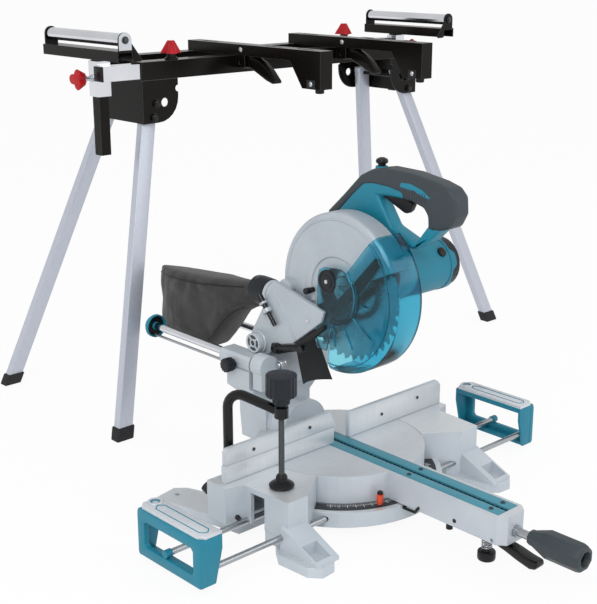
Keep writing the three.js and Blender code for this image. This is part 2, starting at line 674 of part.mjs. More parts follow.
// ---------------------------------------------------------------- saw: turn base
const turning = body('turn_base_body', saw, 0, 0, turntableLow);
const noseOutline = [
  [-noseHalf, -100], [-noseHalf, noseEnd + 12], [-noseHalf + 10, noseEnd], [noseHalf - 10, noseEnd],
  [noseHalf, noseEnd + 12], [noseHalf, -100],
];
const nose = cut(
  plate('z', [noseLow, tableTop], noseOutline),
  box([-noseHalf + 5, noseHalf - 5], [noseEnd + 10, -turntableRadius + 5], [noseLow - 1, tableTop - deck]),
  rod('z', ringRadius + 1, [noseLow - 1, turntableLow], [0, 0], 48),
);
const disk = cut(
  rod('z', turntableRadius, [turntableLow, tableTop], [0, 0], 48),
  rod('z', turntableRadius - 7, [turntableLow - 1, tableTop - deck], [0, 0], 36),
  box([-columnHalf - 10, columnHalf + 10], [bevelJoint, turntableRadius + 1], [turntableLow - 1, tableTop + 1]),
);
const channelWalls = [-1, 1].map((sign) => box(
  toward(sign, [channelHalf, channelHalf + 5]), [-128, 90], [turntableLow, tableTop - deck + 1],
));
const hub = rod('z', hubRadius, [turntableLow, channelLow - 4], [0, 0]);
const [levellerY, levellerShaft, levellerKnob] = leveller;
const levellerRib = box([-noseHalf + 4, noseHalf - 4], [levellerY - 6, levellerY + 6], [58, tableTop - deck + 1]);
const fixedBoss = cut(
  rod('y', bevelBoss, [bevelFront, bevelJoint], [0, tableTop], 32),
  box([-bevelBoss - 1, bevelBoss + 1], [bevelFront - 1, bevelJoint + 1], [tableTop - bevelBoss - 1, turntableLow]),
);
const slots = [
  box([-kerfHalf - gap, kerfHalf + gap], [kerfFront - gap, kerfBack + gap], [tableTop - kerfThick - gap, tableTop + 1]),
  box([-channelHalf, channelHalf], [channelFront, kerfBack - 4], [channelLow, tableTop]),
  rod('y', bevelPin + gap, [bevelFront - 1, bevelJoint + 1], [0, tableTop]),
  rod('y', 15, [kerfBack, bevelFront], [0, tableTop]),
  rod('z', centrePin + gap, [turntableLow - 1, channelLow], [0, 0]),
  rod('z', levellerShaft + gap, [57, 78], [0, levellerY], 16),
  rod('y', gripShaft + gap, [noseEnd - 1, noseEnd + 11], [0, gripZ]),
  rod('x', 2.5 + gap, [-noseHalf - 1, noseHalf + 1], leverAxis, 12),
];
piece('turn_base', turning, cut(joined(
  nose, disk, hub, levellerRib, fixedBoss, ...channelWalls.map((side) => cut(
    side, rod('z', centrePin + gap, [turntableLow - 1, channelLow], [0, 0]),
  )),
), ...slots), 'steel');

piece('kerf_plate', turning, cut(
  box([-kerfHalf, kerfHalf], [kerfFront, kerfBack], [tableTop - kerfThick, tableTop]),
  box([-kerfSlot, kerfSlot], [channelFront, kerfBack - 6], [tableTop - kerfThick - 1, tableTop + 1]),
), 'teal');

const grip = body('mitre_grip_body', turning, 0, noseEnd, gripZ);
piece('mitre_grip', grip, turned('y', [0, gripZ], [
  [noseEnd - 113, 15], [noseEnd - 109, gripRadius - 2], [noseEnd - 98, gripRadius], [noseEnd - 54, gripRadius],
  [noseEnd - 47, gripRadius - 3], [noseEnd - 30, 11], [noseEnd - 26, 10], [noseEnd - 26, gripShaft],
  [noseEnd + 16, gripShaft],
]), 'blackPlastic');

const foreFoot = body('levelling_foot_body', turning, 0, levellerY, 14);
piece('levelling_foot', foreFoot, turned('z', [0, levellerY], [
  [0, levellerKnob - 3], [3, levellerKnob], [12, levellerKnob], [15, levellerKnob - 4], [15, levellerShaft],
  [72, levellerShaft],
]), 'blackPlastic');

const [leverY, leverZ] = leverAxis;
const detent = body('detent_lever_body', turning, 0, leverY, leverZ);
piece('detent_lever', detent, joined(
  plate('x', [-9, 9], [
    [leverY - 50, 22], [leverY + 4, 22], [leverY + 5, leverZ + 4], [leverY - 5, leverZ + 4], [leverY - 7, 31],
    [leverY - 48, 29],
  ]),
  rod('x', 2.5, [-noseHalf - 1, noseHalf + 1], leverAxis, 12),
), 'blackPlastic');

// ---------------------------------------------------------------- saw: tilting arm and slide
const [pipeX, pipeZ, pipeRadius] = pipe;
const tilting = body('bevel_arm_body', turning, 0, bevelJoint, tableTop);
const bagRoom = earOuter + 1.5;
const column = plate('y', [bevelJoint + gap + 7, columnBack], [
  [-44, 55], [44, 55], [columnHalf, 100], [columnHalf, 130], [74, 152], [74, 184], [bagRoom, 184], [bagRoom, saddleTop],
  [-bagRoom, saddleTop], [-bagRoom, 184], [-74, 184], [-74, 152], [-columnHalf, 130], [-columnHalf, 100],
]);
const housings = [-1, 1].map((sign) => rod('y', housingOuter, housingY, [sign * pipeX, pipeZ]));
const pipeBores = [-1, 1].map((sign) => rod('y', pipeRadius + gap, [housingY[0] - 20, housingY[1] + 1], [
  sign * pipeX, pipeZ,
]));
const lockZ = 191;
piece('bevel_arm', tilting, cut(
  joined(rod('y', bevelBoss, [bevelJoint + gap, 150], [0, tableTop], 32), column, ...housings),
  ...pipeBores,
  box([-80, 80], [bevelJoint, housingY[0]], [saddleTop, pipeZ + 20]),
  box([-bagRoom, bagRoom], [bevelJoint, housingY[1] + 1], [saddleTop, pipeZ + 20]),
  box([-80, 80], [bevelJoint, housingY[1] + 1], [pipeZ + 12.5, pipeZ + 20]),
  rod('y', bevelPin + gap, [bevelJoint, columnBack + 1], [0, tableTop]),
  rod('x', stud + gap, [-80, -pipeX], [164, lockZ], 16),
), 'aluminium');

const bevelKnob = body('bevel_knob_body', tilting, 0, columnBack, tableTop);
piece('bevel_knob', bevelKnob, joined(
  turned('y', [0, tableTop], [
    [bevelFront - 9, 14], [bevelFront - gap, 14], [bevelFront - gap, bevelPin], [columnBack + 6, bevelPin],
    [columnBack + 6, 15], [columnBack + 14, 15],
  ]),
  plate('y', [columnBack + 10, columnBack + 28], lobed([0, tableTop], 24, 15, 5)),
), 'blackPlastic');

const slideLock = body('slide_lock_knob_body', tilting, -80, 164, lockZ);
piece('slide_lock_knob', slideLock, turned('x', [164, lockZ], [
  [-94, 9], [-92, 11], [-80, 11], [-78, 8], [-78, stud], [-pipeX - pipeRadius - 0.8, stud],
], 16), 'blackPlastic');

const sliding = body('carriage_body', tilting, 0, carriageY[0], pipeZ);
const capFace = pipeY[1];
const [capRadius, capLength] = pipeCap;
for (const [side, sign] of sides) {
  piece(`${side}_slide_pipe`, sliding, turned('y', [sign * pipeX, pipeZ], [
    [pipeY[0] + 3, pipeRadius], [capFace, pipeRadius], [capFace, capRadius], [capFace + 6, capRadius],
    [capFace + capLength - 3, capRadius - 5], [capFace + capLength, capRadius - 8],
  ]), 'chrome');
}

const [pivotY, pivotZ] = pivot;
const eyes = [-1, 1].map((sign) => joined(
  rod('y', housingOuter, carriageY, [sign * pipeX, pipeZ]),
  box(toward(sign, [46, 72]), [carriageY[0], carriageY[1] - 4], [158, pipeZ]),
));
piece('carriage', sliding, joined(
  cut(
    joined(
      ...eyes,
      box([-47, 47], [carriageY[0], carriageY[1] - 7], [158, 170]),
      plate('x', [-hingeHalf, hingeHalf], [
        [carriageY[0], 158], [carriageY[1], 158], [pivotY + 18, pivotZ - 14], [pivotY + 18, pivotZ + 12],
        [pivotY + 6, pivotZ + 20], [pivotY - 20, pivotZ + 20], [carriageY[0], 190],
      ]),
    ),
    ...[-1, 1].map((sign) => rod('y', pipeRadius + gap, [carriageY[0] + 2, carriageY[1] + 1], [sign * pipeX, pipeZ])),
  ),
  turned('x', pivot, [[-50, 14], [-48, 16], [-earOuter - gap, 16], [-earOuter - gap, pivotPin], [earOuter + 1, pivotPin]]),
), 'aluminium');

// ---------------------------------------------------------------- saw: head
const [bladeY, bladeZ] = blade;
const [motorY, motorZ] = motor;
const head = body('head_body', sliding, 0, ...pivot);

function caseSheet(from, to, inner) {
  const outer = arc(blade, caseOuter, ...caseArc, 22);
  return plate('x', [from, to], [...outer, ...arc(blade, inner, caseArc[1], caseArc[0], Math.round(inner / 5))]);
}

const headPlate = [
  [0, 304], [6, 286], [68, 238], [104, 228], [124, 206], [150, 203], [164, 216], [164, 236], [140, 276], [112, 330],
];
const ears = [-1, 1].map((sign) => joined(
  rod('x', pivotEar, toward(sign, [hingeHalf + 0.6, earOuter]), pivot),
  plate('x', toward(sign, [guardHalf + 0.8, sign < 0 ? 36 : handleX[0] - gap]), sign < 0 ? headPlate : [
    ...headPlate.slice(2), [96, 380], [84, 428], [62, 424], [74, 380], [90, 330], [70, 262],
  ]),
  rod('x', 13, toward(sign, [sign < 0 ? -caseX[0] - 1 : caseX[1] - 1, guardHalf + 2]), [92, 322]),
));
const caseShell = joined(
  caseSheet(caseX[0], caseX[0] + caseSide, 34),
  caseSheet(caseX[1] - caseSide, caseX[1], 30),
  caseSheet(...caseX, caseOuter - caseRim),
);
const [ductZ, ductOuter, ductInner] = duct;
piece('blade_case', head, cut(
  joined(caseShell, ...ears),
  rod('x', pivotPin + gap, [-earOuter - 1, earOuter + 1], pivot),
  rod('y', ductOuter + gap, [80, 140], [0, ductZ], 24),
), 'greyCast');

// ---------------------------------------------------------------- saw: blade and drive
const gearSpan = Math.hypot(motorY - bladeY, motorZ - bladeZ);
const spindlePitch = gearSpan * teeth.spindle / (teeth.spindle + teeth.motor);
const pinionPitch = gearSpan - spindlePitch;
const gearTurn = Math.atan2(motorZ - bladeZ, motorY - bladeY) / (2 * Math.PI);

const spinning = body('spindle_body', head, 0, ...blade);
const flangeFace = bladeHalf + gap;
piece('spindle', spinning, joined(
  rod('x', spindleRadius, [-bladeHalf, gearX[1] - 3], blade),
  rod('x', boreRadius - gap, [-bladeHalf, 2], blade),
  rod('x', 22, [flangeFace, 7], blade, 24),
  plate('x', gearFace, gear(blade, spindlePitch, teeth.spindle, gearTurn * teeth.spindle)),
), 'steel');
const toothed = Array.from({ length: bladeTeeth }, (_, i) => {
  const at = (turn, radius) => {
    const angle = 2 * Math.PI * (i + turn) / bladeTeeth;
    return [bladeY + radius * Math.cos(angle), bladeZ + radius * Math.sin(angle)];
  };
  return [at(0, bladeRadius), at(0.3, bladeRadius - 3), at(0.8, bladeRadius - 9)];
}).flat();
piece('saw_blade', spinning, cut(
  plate('x', [-bladeHalf, bladeHalf], toothed), rod('x', boreRadius, [-2, 2], blade, 20),
), 'chrome');
piece('outer_flange', spinning, joined(
  rod('x', 22, [-6, -flangeFace], blade, 24), rod('x', 9, [-14, -5], blade, 6),
), 'zinc');

const rotor = body('armature_body', head, 0, ...motor);
piece('armature', rotor, joined(
  rod('x', motorShaft, [gearX[0] + 5, capEnd - 12], motor),
  plate('x', gearFace, gear(motor, pinionPitch, teeth.motor, (gearTurn + 0.5) * teeth.motor + 0.5)),
  rod('x', 22, [76, 128], motor, 20),
  rod('x', 13, [132, 146], motor, 20),
), 'steel');
piece('stator', head, cut(
  rod('x', motorRadius - motorWall - gap, [80, 124], motor, 24), rod('x', 24, [79, 125], motor, 20),
), 'copper');

function driveOutline(spindleReach, motorReach) {
  const shape = new THREE.Shape();
  const lean = Math.acos((spindleReach - motorReach) / gearSpan);
  const heading = 2 * Math.PI * gearTurn;
  shape.absarc(motorY, motorZ, motorReach, heading - lean, heading + lean);
  shape.absarc(bladeY, bladeZ, spindleReach, heading + lean, heading - lean + 2 * Math.PI);
  return shape;
}

const [housingLeft, housingRight] = gearX;
piece('gear_housing', head, cut(
  joined(
    plate('x', gearX, driveOutline(gearCase, motorRadius)),
    rod('x', gearBoss, [caseX[1] + gap, housingLeft + 1], blade, 36),
  ),
  rod('x', spindlePitch + 3, [housingLeft + 10, housingRight + 1], blade, 24),
  rod('x', pinionPitch + 4, [housingLeft + 10, housingRight + 1], motor),
  rod('x', spindleRadius + 1, [0, housingRight], blade),
  rod('x', 17 + gap, [housingLeft - 6, housingLeft + 4], blade),
  rod('x', motorShaft + gap, [housingLeft + 4, housingRight], motor),
), 'aluminium');
piece('spindle_bearing', head, cut(
  rod('x', 17, [housingLeft - 6 + gap, housingLeft + 3.7], blade),
  rod('x', spindleRadius + gap, [housingLeft - 7, housingLeft + 5], blade),
), 'steel');
const plateLeft = housingRight + gap;
piece('motor_housing', head, cut(
  joined(
    plate('x', [plateLeft, plateLeft + 5], driveOutline(gearCase, motorRadius)),
    rod('x', motorRadius, [plateLeft, motorEnd], motor, 32),
    rod('x', 19, [housingRight - 11, plateLeft + 1], blade),
  ),
  rod('x', motorRadius - motorWall, [plateLeft + 5, motorEnd + 1], motor, 24),
  rod('x', spindleRadius + gap, [housingRight - 12, housingRight], blade),
  rod('x', motorShaft + 2, [plateLeft - 1, plateLeft + 6], motor),
), 'teal');
piece('motor_end_cap', head, cut(
  turned('x', motor, [[motorEnd + gap, motorRadius - 1], [capEnd - 8, motorRadius - 2], [capEnd, motorRadius - 9]], 32),
  rod('x', motorRadius - 5, [motorEnd, capEnd - 12], motor, 24),
  rod('x', motorShaft + gap, [capEnd - 13, capEnd - 10], motor),
  ...[-2, -1, 0, 1, 2].map((i) => box([capEnd - 11, capEnd + 1], around(motorY + i * 10, 2.5), [motorZ + 10, motorZ + 22])),
  ...[-2, -1, 0, 1, 2].map((i) => box([capEnd - 11, capEnd + 1], around(motorY + i * 10, 2.5), [motorZ - 22, motorZ - 10])),
), 'darkPlastic');

// ---------------------------------------------------------------- saw: lower guard
const [rimInner, rimOuter] = guardRim;
const guard = body('lower_guard_body', head, 0, ...blade);
const wallBack = bladeY + 37;
const guardSheet = [
  ...arc(blade, rimOuter, -107, 51, 26), [bladeY - 58, bladeZ + guardHub + 1], [bladeY, bladeZ + guardHub + 2],
  [bladeY + 20, bladeZ + guardHub - 2], [wallBack, bladeZ + 4],
];
const bossSheet = [
  ...arc(blade, rimOuter, -95, 51, 24), ...arc(blade, gearBoss + 7, 60, 250, 16),
];
piece('lower_guard', guard, joined(
  plate('x', [-guardHalf, -guardHalf + guardWall], guardSheet),
  cut(plate('x', [guardHalf - guardWall, guardHalf], bossSheet), rod('x', gearBoss + 0.5, [20, 30], blade, 36)),
  plate('x', [-guardHalf, guardHalf], [...arc(blade, rimOuter, -95, 51, 24), ...arc(blade, rimInner, 51, -95, 24)]),
), 'guardTeal');

// ---------------------------------------------------------------- saw: handle and trigger
const grasp = new THREE.Shape([
  [70, 434], [32, 467], [-4, 502], [-28, 514], [-54, 519], [-104, 518], [-152, 511], [-174, 505], [-186, 493],
  [-188, 469], [-178, 450], [-163, 444], [-142, 426], [-112, 407], [-84, 409], [-58, 402], [-36, 404], [10, 401],
  [60, 402],
].map((point) => new THREE.Vector2(...point)));
grasp.holes.push(new THREE.Path([
  [-38, 476], [-60, 478], [-105, 477], [-128, 471], [-136, 461], [-137, 449], [-113, 417], [-67, 434],
].map((point) => new THREE.Vector2(...point))));
const [pinY, pinZ] = triggerPin;
const [buttonY, buttonStem, buttonCap] = button;
const buttonSeat = 516;
const triggerX = [41.5, 52.5];
const socket = [triggerX[0] - gap, triggerX[1] + gap];
piece('handle', head, cut(
  plate('x', handleX, grasp),
  box(socket, [-104, pinY + 8], [463, 497]),
  rod('x', 2 + gap, [handleX[0] + 3, handleX[1] - 3], triggerPin, 12),
  rod('z', buttonStem + gap, [494, buttonSeat + 8], [47, buttonY], 16),
  box([43, 51], [24, 60], [396, 412]),
), 'darkPlastic');
const pulling = body('trigger_body', head, 47, ...triggerPin);
piece('trigger', pulling, joined(
  plate('x', triggerX, [
    [pinY + 4, pinZ - 5], [pinY + 4, pinZ + 3], [pinY - 4, pinZ + 3], [-98, 472.5], [-100, 469], [-94, 459],
    [-86, 456], [-42, 474],
  ]),
  rod('x', 2, [handleX[0] + 4, handleX[1] - 4], triggerPin, 12),
), 'blackPlastic');
piece('switch', head, joined(
  box(triggerX, [-89, -58], [488.6, 497 - gap]), box([46, 48], [-78, -74], [484.4, 489]),
), 'blackPlastic');
const pressing = body('lock_off_button_body', head, 47, buttonY, buttonSeat);
piece('lock_off_button', pressing, turned('z', [47, buttonY], [
  [499, buttonStem], [buttonSeat + 5, buttonStem], [buttonSeat + 5, buttonCap], [buttonSeat + 10, buttonCap - 1],
  [buttonSeat + 14, buttonCap - 5],
], 20), 'blackPlastic');

// ---------------------------------------------------------------- saw: dust nozzle, bag and flap
piece('dust_nozzle', head, cut(
  turned('y', [0, ductZ], [
    [ductY[0], ductOuter], [ductY[1], ductOuter], [ductY[1], ductOuter + 2], [ductY[2], ductOuter + 2],
  ], 24),
  rod('y', ductInner, [ductY[0] - 1, ductY[2] + 1], [0, ductZ]),
), 'blackPlastic');
piece('dust_bag', head, plate('x', [-bagHalf, bagHalf], [
  [ductY[2] + gap, 268], [ductY[2] + gap, 304], [300, 300], [bagEnd - 12, 292], [bagEnd, 280], [bagEnd, 186],
  [bagEnd - 12, 173], [262, 172], [246, 180],
]), 'cloth');
piece('chip_flap', head, plate('x', [-24, 24], [[81.2, 268], [85, 265.3], [61, 211], [58, 212]]), 'blackPlastic');

// ---------------------------------------------------------------- saw: vise
const [postXY, screwXY] = [visePost.slice(0, 2), viseScrew.slice(0, 2)];
const clamping = body('vise_body', saw, ...postXY, tableTop);
const barLength = Math.hypot(screwXY[0] - postXY[0], screwXY[1] - postXY[1], viseEye - viseElbow);
piece('vise_frame', clamping, cut(
  joined(
    rod('z', visePost[2], [48, viseElbow + 2], postXY),
    aimed([...postXY, viseElbow], [...screwXY, viseEye], [
      [-viseBar, viseBar - 3], [-viseBar + 3, viseBar], [barLength, viseBar],
    ]),
    rod('z', viseScrew[2] + 6, [viseEye - 8, viseEye + 8], screwXY),
  ),
  rod('z', viseScrew[2] + gap, [viseEye - 9, viseTop + 4], screwXY),
), 'blackSteel');
const [knobReach, knobTall] = viseKnob;
const winding = body('vise_screw_body', clamping, ...screwXY, viseTop);
piece('vise_screw', winding, joined(
  turned('z', screwXY, [
    [tableTop + 1, 14], [tableTop + 6, 14], [tableTop + 12, 8], [tableTop + 18, 8], [tableTop + 18, viseScrew[2]],
    [viseTop + 6, viseScrew[2]],
  ]),
  rod('z', knobReach - 6, [viseTop + 4, viseTop + 14], screwXY),
  plate('z', [viseTop + 12, viseTop + 4 + knobTall], lobed(screwXY, knobReach, knobReach - 3, 6)),
), 'blackPlastic');

// ---------------------------------------------------------------- the whole machine, centred on the floor
root.updateMatrixWorld(true);
const bounds = new THREE.Box3().setFromObject(root);
root.position.set(-(bounds.min.x + bounds.max.x) / 2, -(bounds.min.y + bounds.max.y) / 2, -bounds.min.z);

export default root;
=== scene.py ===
import math

import bmesh
import bpy
from mathutils import Matrix, Vector


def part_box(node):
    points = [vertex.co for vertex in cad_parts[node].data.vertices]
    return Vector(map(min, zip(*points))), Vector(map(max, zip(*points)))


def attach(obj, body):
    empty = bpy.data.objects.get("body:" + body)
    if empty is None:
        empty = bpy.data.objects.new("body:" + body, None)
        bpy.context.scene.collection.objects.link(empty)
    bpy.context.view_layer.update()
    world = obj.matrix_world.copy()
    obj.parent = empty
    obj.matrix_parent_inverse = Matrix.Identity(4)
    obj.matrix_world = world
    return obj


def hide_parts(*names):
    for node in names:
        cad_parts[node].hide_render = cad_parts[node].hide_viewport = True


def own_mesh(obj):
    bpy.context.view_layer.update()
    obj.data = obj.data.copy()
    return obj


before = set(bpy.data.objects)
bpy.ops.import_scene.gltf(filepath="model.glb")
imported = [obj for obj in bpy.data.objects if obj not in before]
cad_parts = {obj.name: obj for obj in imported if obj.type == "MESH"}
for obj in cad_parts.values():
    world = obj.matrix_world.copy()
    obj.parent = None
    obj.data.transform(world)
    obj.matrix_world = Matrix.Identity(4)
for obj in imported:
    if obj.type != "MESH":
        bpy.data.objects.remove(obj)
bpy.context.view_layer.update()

# -------------------- where the two machines stand
KERF_FRONT = 0.326  # from the turntable's axis to the front end of the kerf plate
kerf_low, kerf_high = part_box("kerf_plate")
SAW = Vector(((kerf_low.x + kerf_high.x) / 2, kerf_low.y + KERF_FRONT, 0))
beam_low, beam_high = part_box("stand_beam")
STAND = Vector(((beam_low.x + beam_high.x) / 2, (beam_low.y + beam_high.y) / 2, 0))

# -------------------- camera
camera = bpy.data.objects.new("camera", bpy.data.cameras.new("camera"))
camera.data.lens = 71.52
camera.data.clip_end = 200
camera.location = (-1.4983, -1.39205, 0.8273)
camera.rotation_euler = (math.radians(73.4), 0, math.radians(-43))
bpy.context.scene.collection.objects.link(camera)
bpy.context.scene.camera = camera
bpy.context.scene.view_settings.view_transform = "Standard"


# -------------------- node tools
def linear(code):
    """A colour written as six hex digits, as the shader wants it."""
    parts = [int(code[i : i + 2], 16) / 255 for i in (0, 2, 4)]
    return [c / 12.92 if c <= 0.04045 else ((c + 0.055) / 1.055) ** 2.4 for c in parts]


def tinted(code, by=1):
    """A colour as a socket's value, darker or lighter by a factor."""
    return (*[min(1, c * by) for c in linear(code)], 1)


def fill(tree, socket, value):
    """Joins a socket to another node's, or sets its plain value."""
    if isinstance(value, bpy.types.NodeSocket):
        tree.links.new(value, socket)
    else:
        socket.default_value = value


def add(tree, kind, inputs, out=0, **settings):
    """Makes a node from its inputs and settings, and gives one of its outputs."""
    node = tree.nodes.new("ShaderNode" + kind)
    for key, value in settings.items():
        setattr(node, key, value)
    for key, value in inputs.items():
        fill(tree, node.inputs[key], value)
    return node.outputs[out]


def mixed(tree, share, under, over):
    """The colour between two colours."""
    node = add(tree, "Mix", {"Factor": share}, data_type="RGBA").node
    for socket, value in zip([s for s in node.inputs if s.type == "RGBA"], (under, over)):
        fill(tree, socket, value)
    return next(s for s in node.outputs if s.type == "RGBA")


def rays(tree, *kinds):
    """Whether a ray is of one of some kinds."""
    path = add(tree, "LightPath", {}).node.outputs
    found = path[f"Is {kinds[0]} Ray"]
    for kind in kinds[1:]:
        found = add(tree, "Math", {0: found, 1: path[f"Is {kind} Ray"]}, operation="MAXIMUM")
    return found


# -------------------- finishes
def plain(name, **values):
    """A material with plain values on its shader, its node tree and the shader's inputs."""
    made = bpy.data.materials.new(name)
    made.use_nodes = True
    inputs = made.node_tree.nodes["Principled BSDF"].inputs
    for key, value in values.items():
        inputs[key.replace("_", " ")].default_value = value
    return made, made.node_tree, inputs


def finish(name, colour, rough, metal=0.0, grain=900, relief=0.00006, drawn=(1, 1, 1), tone=0.05, edge=0.0006,
           edge_wear_and_highlight=None, sheen=0.0, smudge=0.06, shine=0.5):
    """A finish with a fine grain, a slow change of tone, uneven gloss and softly broken edges; where given, a
    lighter colour along the edges that is partly wear and partly a painted highlight.
    """
    made, tree, inputs = plain(name, Metallic=metal, Specular_IOR_Level=shine, Sheen_Weight=sheen)
    place = add(tree, "TexCoord", {}, "Object")
    stretch = add(tree, "Mapping", {"Vector": place, "Scale": drawn})
    fine = add(tree, "TexNoise", {"Vector": stretch, "Scale": grain, "Detail": 3})
    cloud = add(tree, "TexNoise", {"Vector": stretch, "Scale": 17, "Detail": 5})
    spread = add(tree, "MapRange", {"Value": cloud, "From Min": 0.3, "From Max": 0.7})
    painted = mixed(tree, spread, tinted(colour, 1 - tone), tinted(colour, 1 + tone))
    gloss = add(tree, "MapRange", {"Value": fine, "From Min": 0.25, "From Max": 0.75,
                                   "To Min": max(0.02, rough - smudge), "To Max": min(1, rough + smudge)})
    bumps = {"Height": fine, "Strength": 1, "Distance": relief}
    if edge:
        broken = bumps["Normal"] = add(tree, "Bevel", {"Radius": edge}, samples=4)
        # Lighter colour along the edges: partly wear, partly a painted highlight.
        if edge_wear_and_highlight:
            true = add(tree, "NewGeometry", {}, "Normal")
            apart = add(tree, "VectorMath", {0: broken, 1: true}, "Value", operation="DOT_PRODUCT")
            wear_and_highlight_share = add(tree, "MapRange", {"Value": apart, "From Min": 0.995, "From Max": 0.86,
                                            "To Max": 0.7})
            painted = mixed(tree, wear_and_highlight_share, painted, tinted(edge_wear_and_highlight))
    fill(tree, inputs["Roughness"], gloss)
    fill(tree, inputs["Normal"], add(tree, "Bump", bumps))
    fill(tree, inputs["Base Color"], painted)
    return made


def machined(name, cast, bare, way, grain):
    """Painted casting whose faces that look along one axis are milled bright."""
    made = finish(name, cast, 0.42, 0.15, grain=700, relief=0.00008, edge=0.0012)
    tree = made.node_tree
    inputs = tree.nodes["Principled BSDF"].inputs
    painted = inputs["Base Color"].links[0].from_socket
    place = add(tree, "TexCoord", {}).node.outputs
    split = add(tree, "SeparateXYZ", {"Vector": place["Normal"]}, way)
    size = add(tree, "Math", {0: split}, operation="ABSOLUTE")
    faces = add(tree, "MapRange", {"Value": size, "From Min": 0.97, "From Max": 0.995})
    lines = add(tree, "Mapping", {"Vector": place["Object"], "Scale": grain})
    cuts = add(tree, "TexNoise", {"Vector": lines, "Scale": 12, "Detail": 6})
    streak = mixed(tree, cuts, tinted(bare, 0.86), tinted(bare, 1.1))
    fill(tree, inputs["Base Color"], mixed(tree, faces, painted, streak))
    fill(tree, inputs["Metallic"], add(tree, "Math", {0: faces, 1: 0.45, 2: 0.15}, operation="MULTIPLY_ADD"))
    return made


def clear(name, colour, rough):
    """Tinted clear plastic."""
    made, tree, inputs = plain(name, Transmission_Weight=1, IOR=1.33)
    place = add(tree, "TexCoord", {}, "Object")
    cloud = add(tree, "TexNoise", {"Vector": place, "Scale": 30, "Detail": 4})
    fill(tree, inputs["Base Color"], mixed(tree, cloud, tinted(colour, 0.94), tinted(colour, 1.06)))
    gloss = add(tree, "MapRange", {"Value": cloud, "To Min": rough, "To Max": rough + 0.08})
    fill(tree, inputs["Roughness"], gloss)
    return made


def canvas(name, colour):
    """Woven cloth: two crossing sets of threads, with a soft change of tone."""
    made = finish(name, colour, 0.9, grain=240, relief=0.0003, edge=0, sheen=0.25, tone=0.14)
    tree = made.node_tree
    place = add(tree, "TexCoord", {}, "Object")
    across, along = [
        add(tree, "TexWave", {"Vector": place, "Scale": 260, "Distortion": 0.6, "Detail": 1}, "Fac",
            bands_direction=way)
        for way in ("Y", "Z")
    ]
    weave = add(tree, "Math", {0: across, 1: along}, operation="MAXIMUM")
    bump = next(n for n in tree.nodes if n.bl_idname == "ShaderNodeBump")
    woven = add(tree, "Bump", {"Height": weave, "Strength": 0.6, "Distance": 0.0003})
    fill(tree, bump.inputs["Normal"], woven)
    return made


# The black paint's grey-violet edges are partly wear and partly a painted highlight.
satin_black = finish("satin_black_paint", "0d0a07", 0.24, grain=600, relief=0.00002, edge_wear_and_highlight="77747a",
                     edge=0.0008, shine=0.16, smudge=0.05)
stand_chrome = finish("bright_chrome", "d9dbe0", 0.14, 1.0, grain=300, relief=0.00001, tone=0.06, smudge=0.04)
leg_alloy = finish("satin_leg_alloy", "bdc2ce", 0.36, 0.35, grain=40, relief=0.00003, drawn=(30, 30, 1),
                   edge=0.0012)
rubber = finish("black_rubber", "17171a", 0.75, grain=1100, relief=0.00012)
zinc = finish("zinc_plate", "c9ccd1", 0.3, 0.85, grain=700, relief=0.00003)
red_knob = finish("red_knob_plastic", "b00f1a", 0.4, grain=1200, relief=0.00003, shine=0.25)
cast_grey = finish("grey_cast_paint", "bcc4cb", 0.42, 0.1, grain=700, relief=0.00009, edge=0.0014)
shell_grey = finish("grey_shell_paint", "b1b9c1", 0.38, 0.2, grain=800, relief=0.00006, edge=0.001)
milled_table = machined("milled_table", "bfc7cf", "dfe3e6", 2, (3, 60, 60))
milled_fence = machined("milled_fence", "c3cad1", "dde1e4", 1, (60, 60, 3))
milled_turntable = machined("milled_turntable", "c1c8d0", "d6dbe0", 2, (60, 4, 60))
teal = finish("teal_plastic", "217f97", 0.42, grain=1000, relief=0.00004, shine=0.3)
teal_board = finish("teal_kerf_board", "43899b", 0.5, grain=900, relief=0.00006)
dark_grip = finish("dark_grip_rubber", "384045", 0.5, grain=1300, relief=0.00008, shine=0.35)
dark_plastic = finish("dark_plastic", "181d25", 0.4, grain=1100, relief=0.00004, shine=0.3)
black_plastic = finish("black_plastic", "101114", 0.35, grain=1100, relief=0.00004, shine=0.3)
black_gloss = finish("black_gloss_paint", "08090b", 0.12, grain=500, relief=0.00001, smudge=0.04, shine=0.35)
blade_steel = finish("blade_steel", "a9b2b8", 0.24, 0.9, grain=60, relief=0.00002, tone=0.1)
plain_steel = finish("plain_steel", "a9adb1", 0.3, 0.9, grain=500, relief=0.00003)
threaded = finish("black_oxide_steel", "4a4e50", 0.4, 0.7, grain=500, relief=0.00005)
copper_wire = finish("copper_wire", "a5623a", 0.4, 0.8, grain=300, relief=0.0001, drawn=(12, 1, 1))
guard_clear = clear("clear_teal_guard", "7ed0e2", 0.06)
bag_cloth = canvas("dust_bag_cloth", "262424")
scale_black = finish("mitre_scale_band", "26282c", 0.5, grain=900)
scale_white = finish("scale_marks", "e9ebec", 0.5, grain=900, relief=0.00001, edge=0)
pointer_red = finish("pointer_orange", "e0502e", 0.45, grain=900)
plate_white = finish("wing_plate_alloy", "cfd4da", 0.36, 0.3, grain=60, relief=0.00003, drawn=(1, 14, 1))

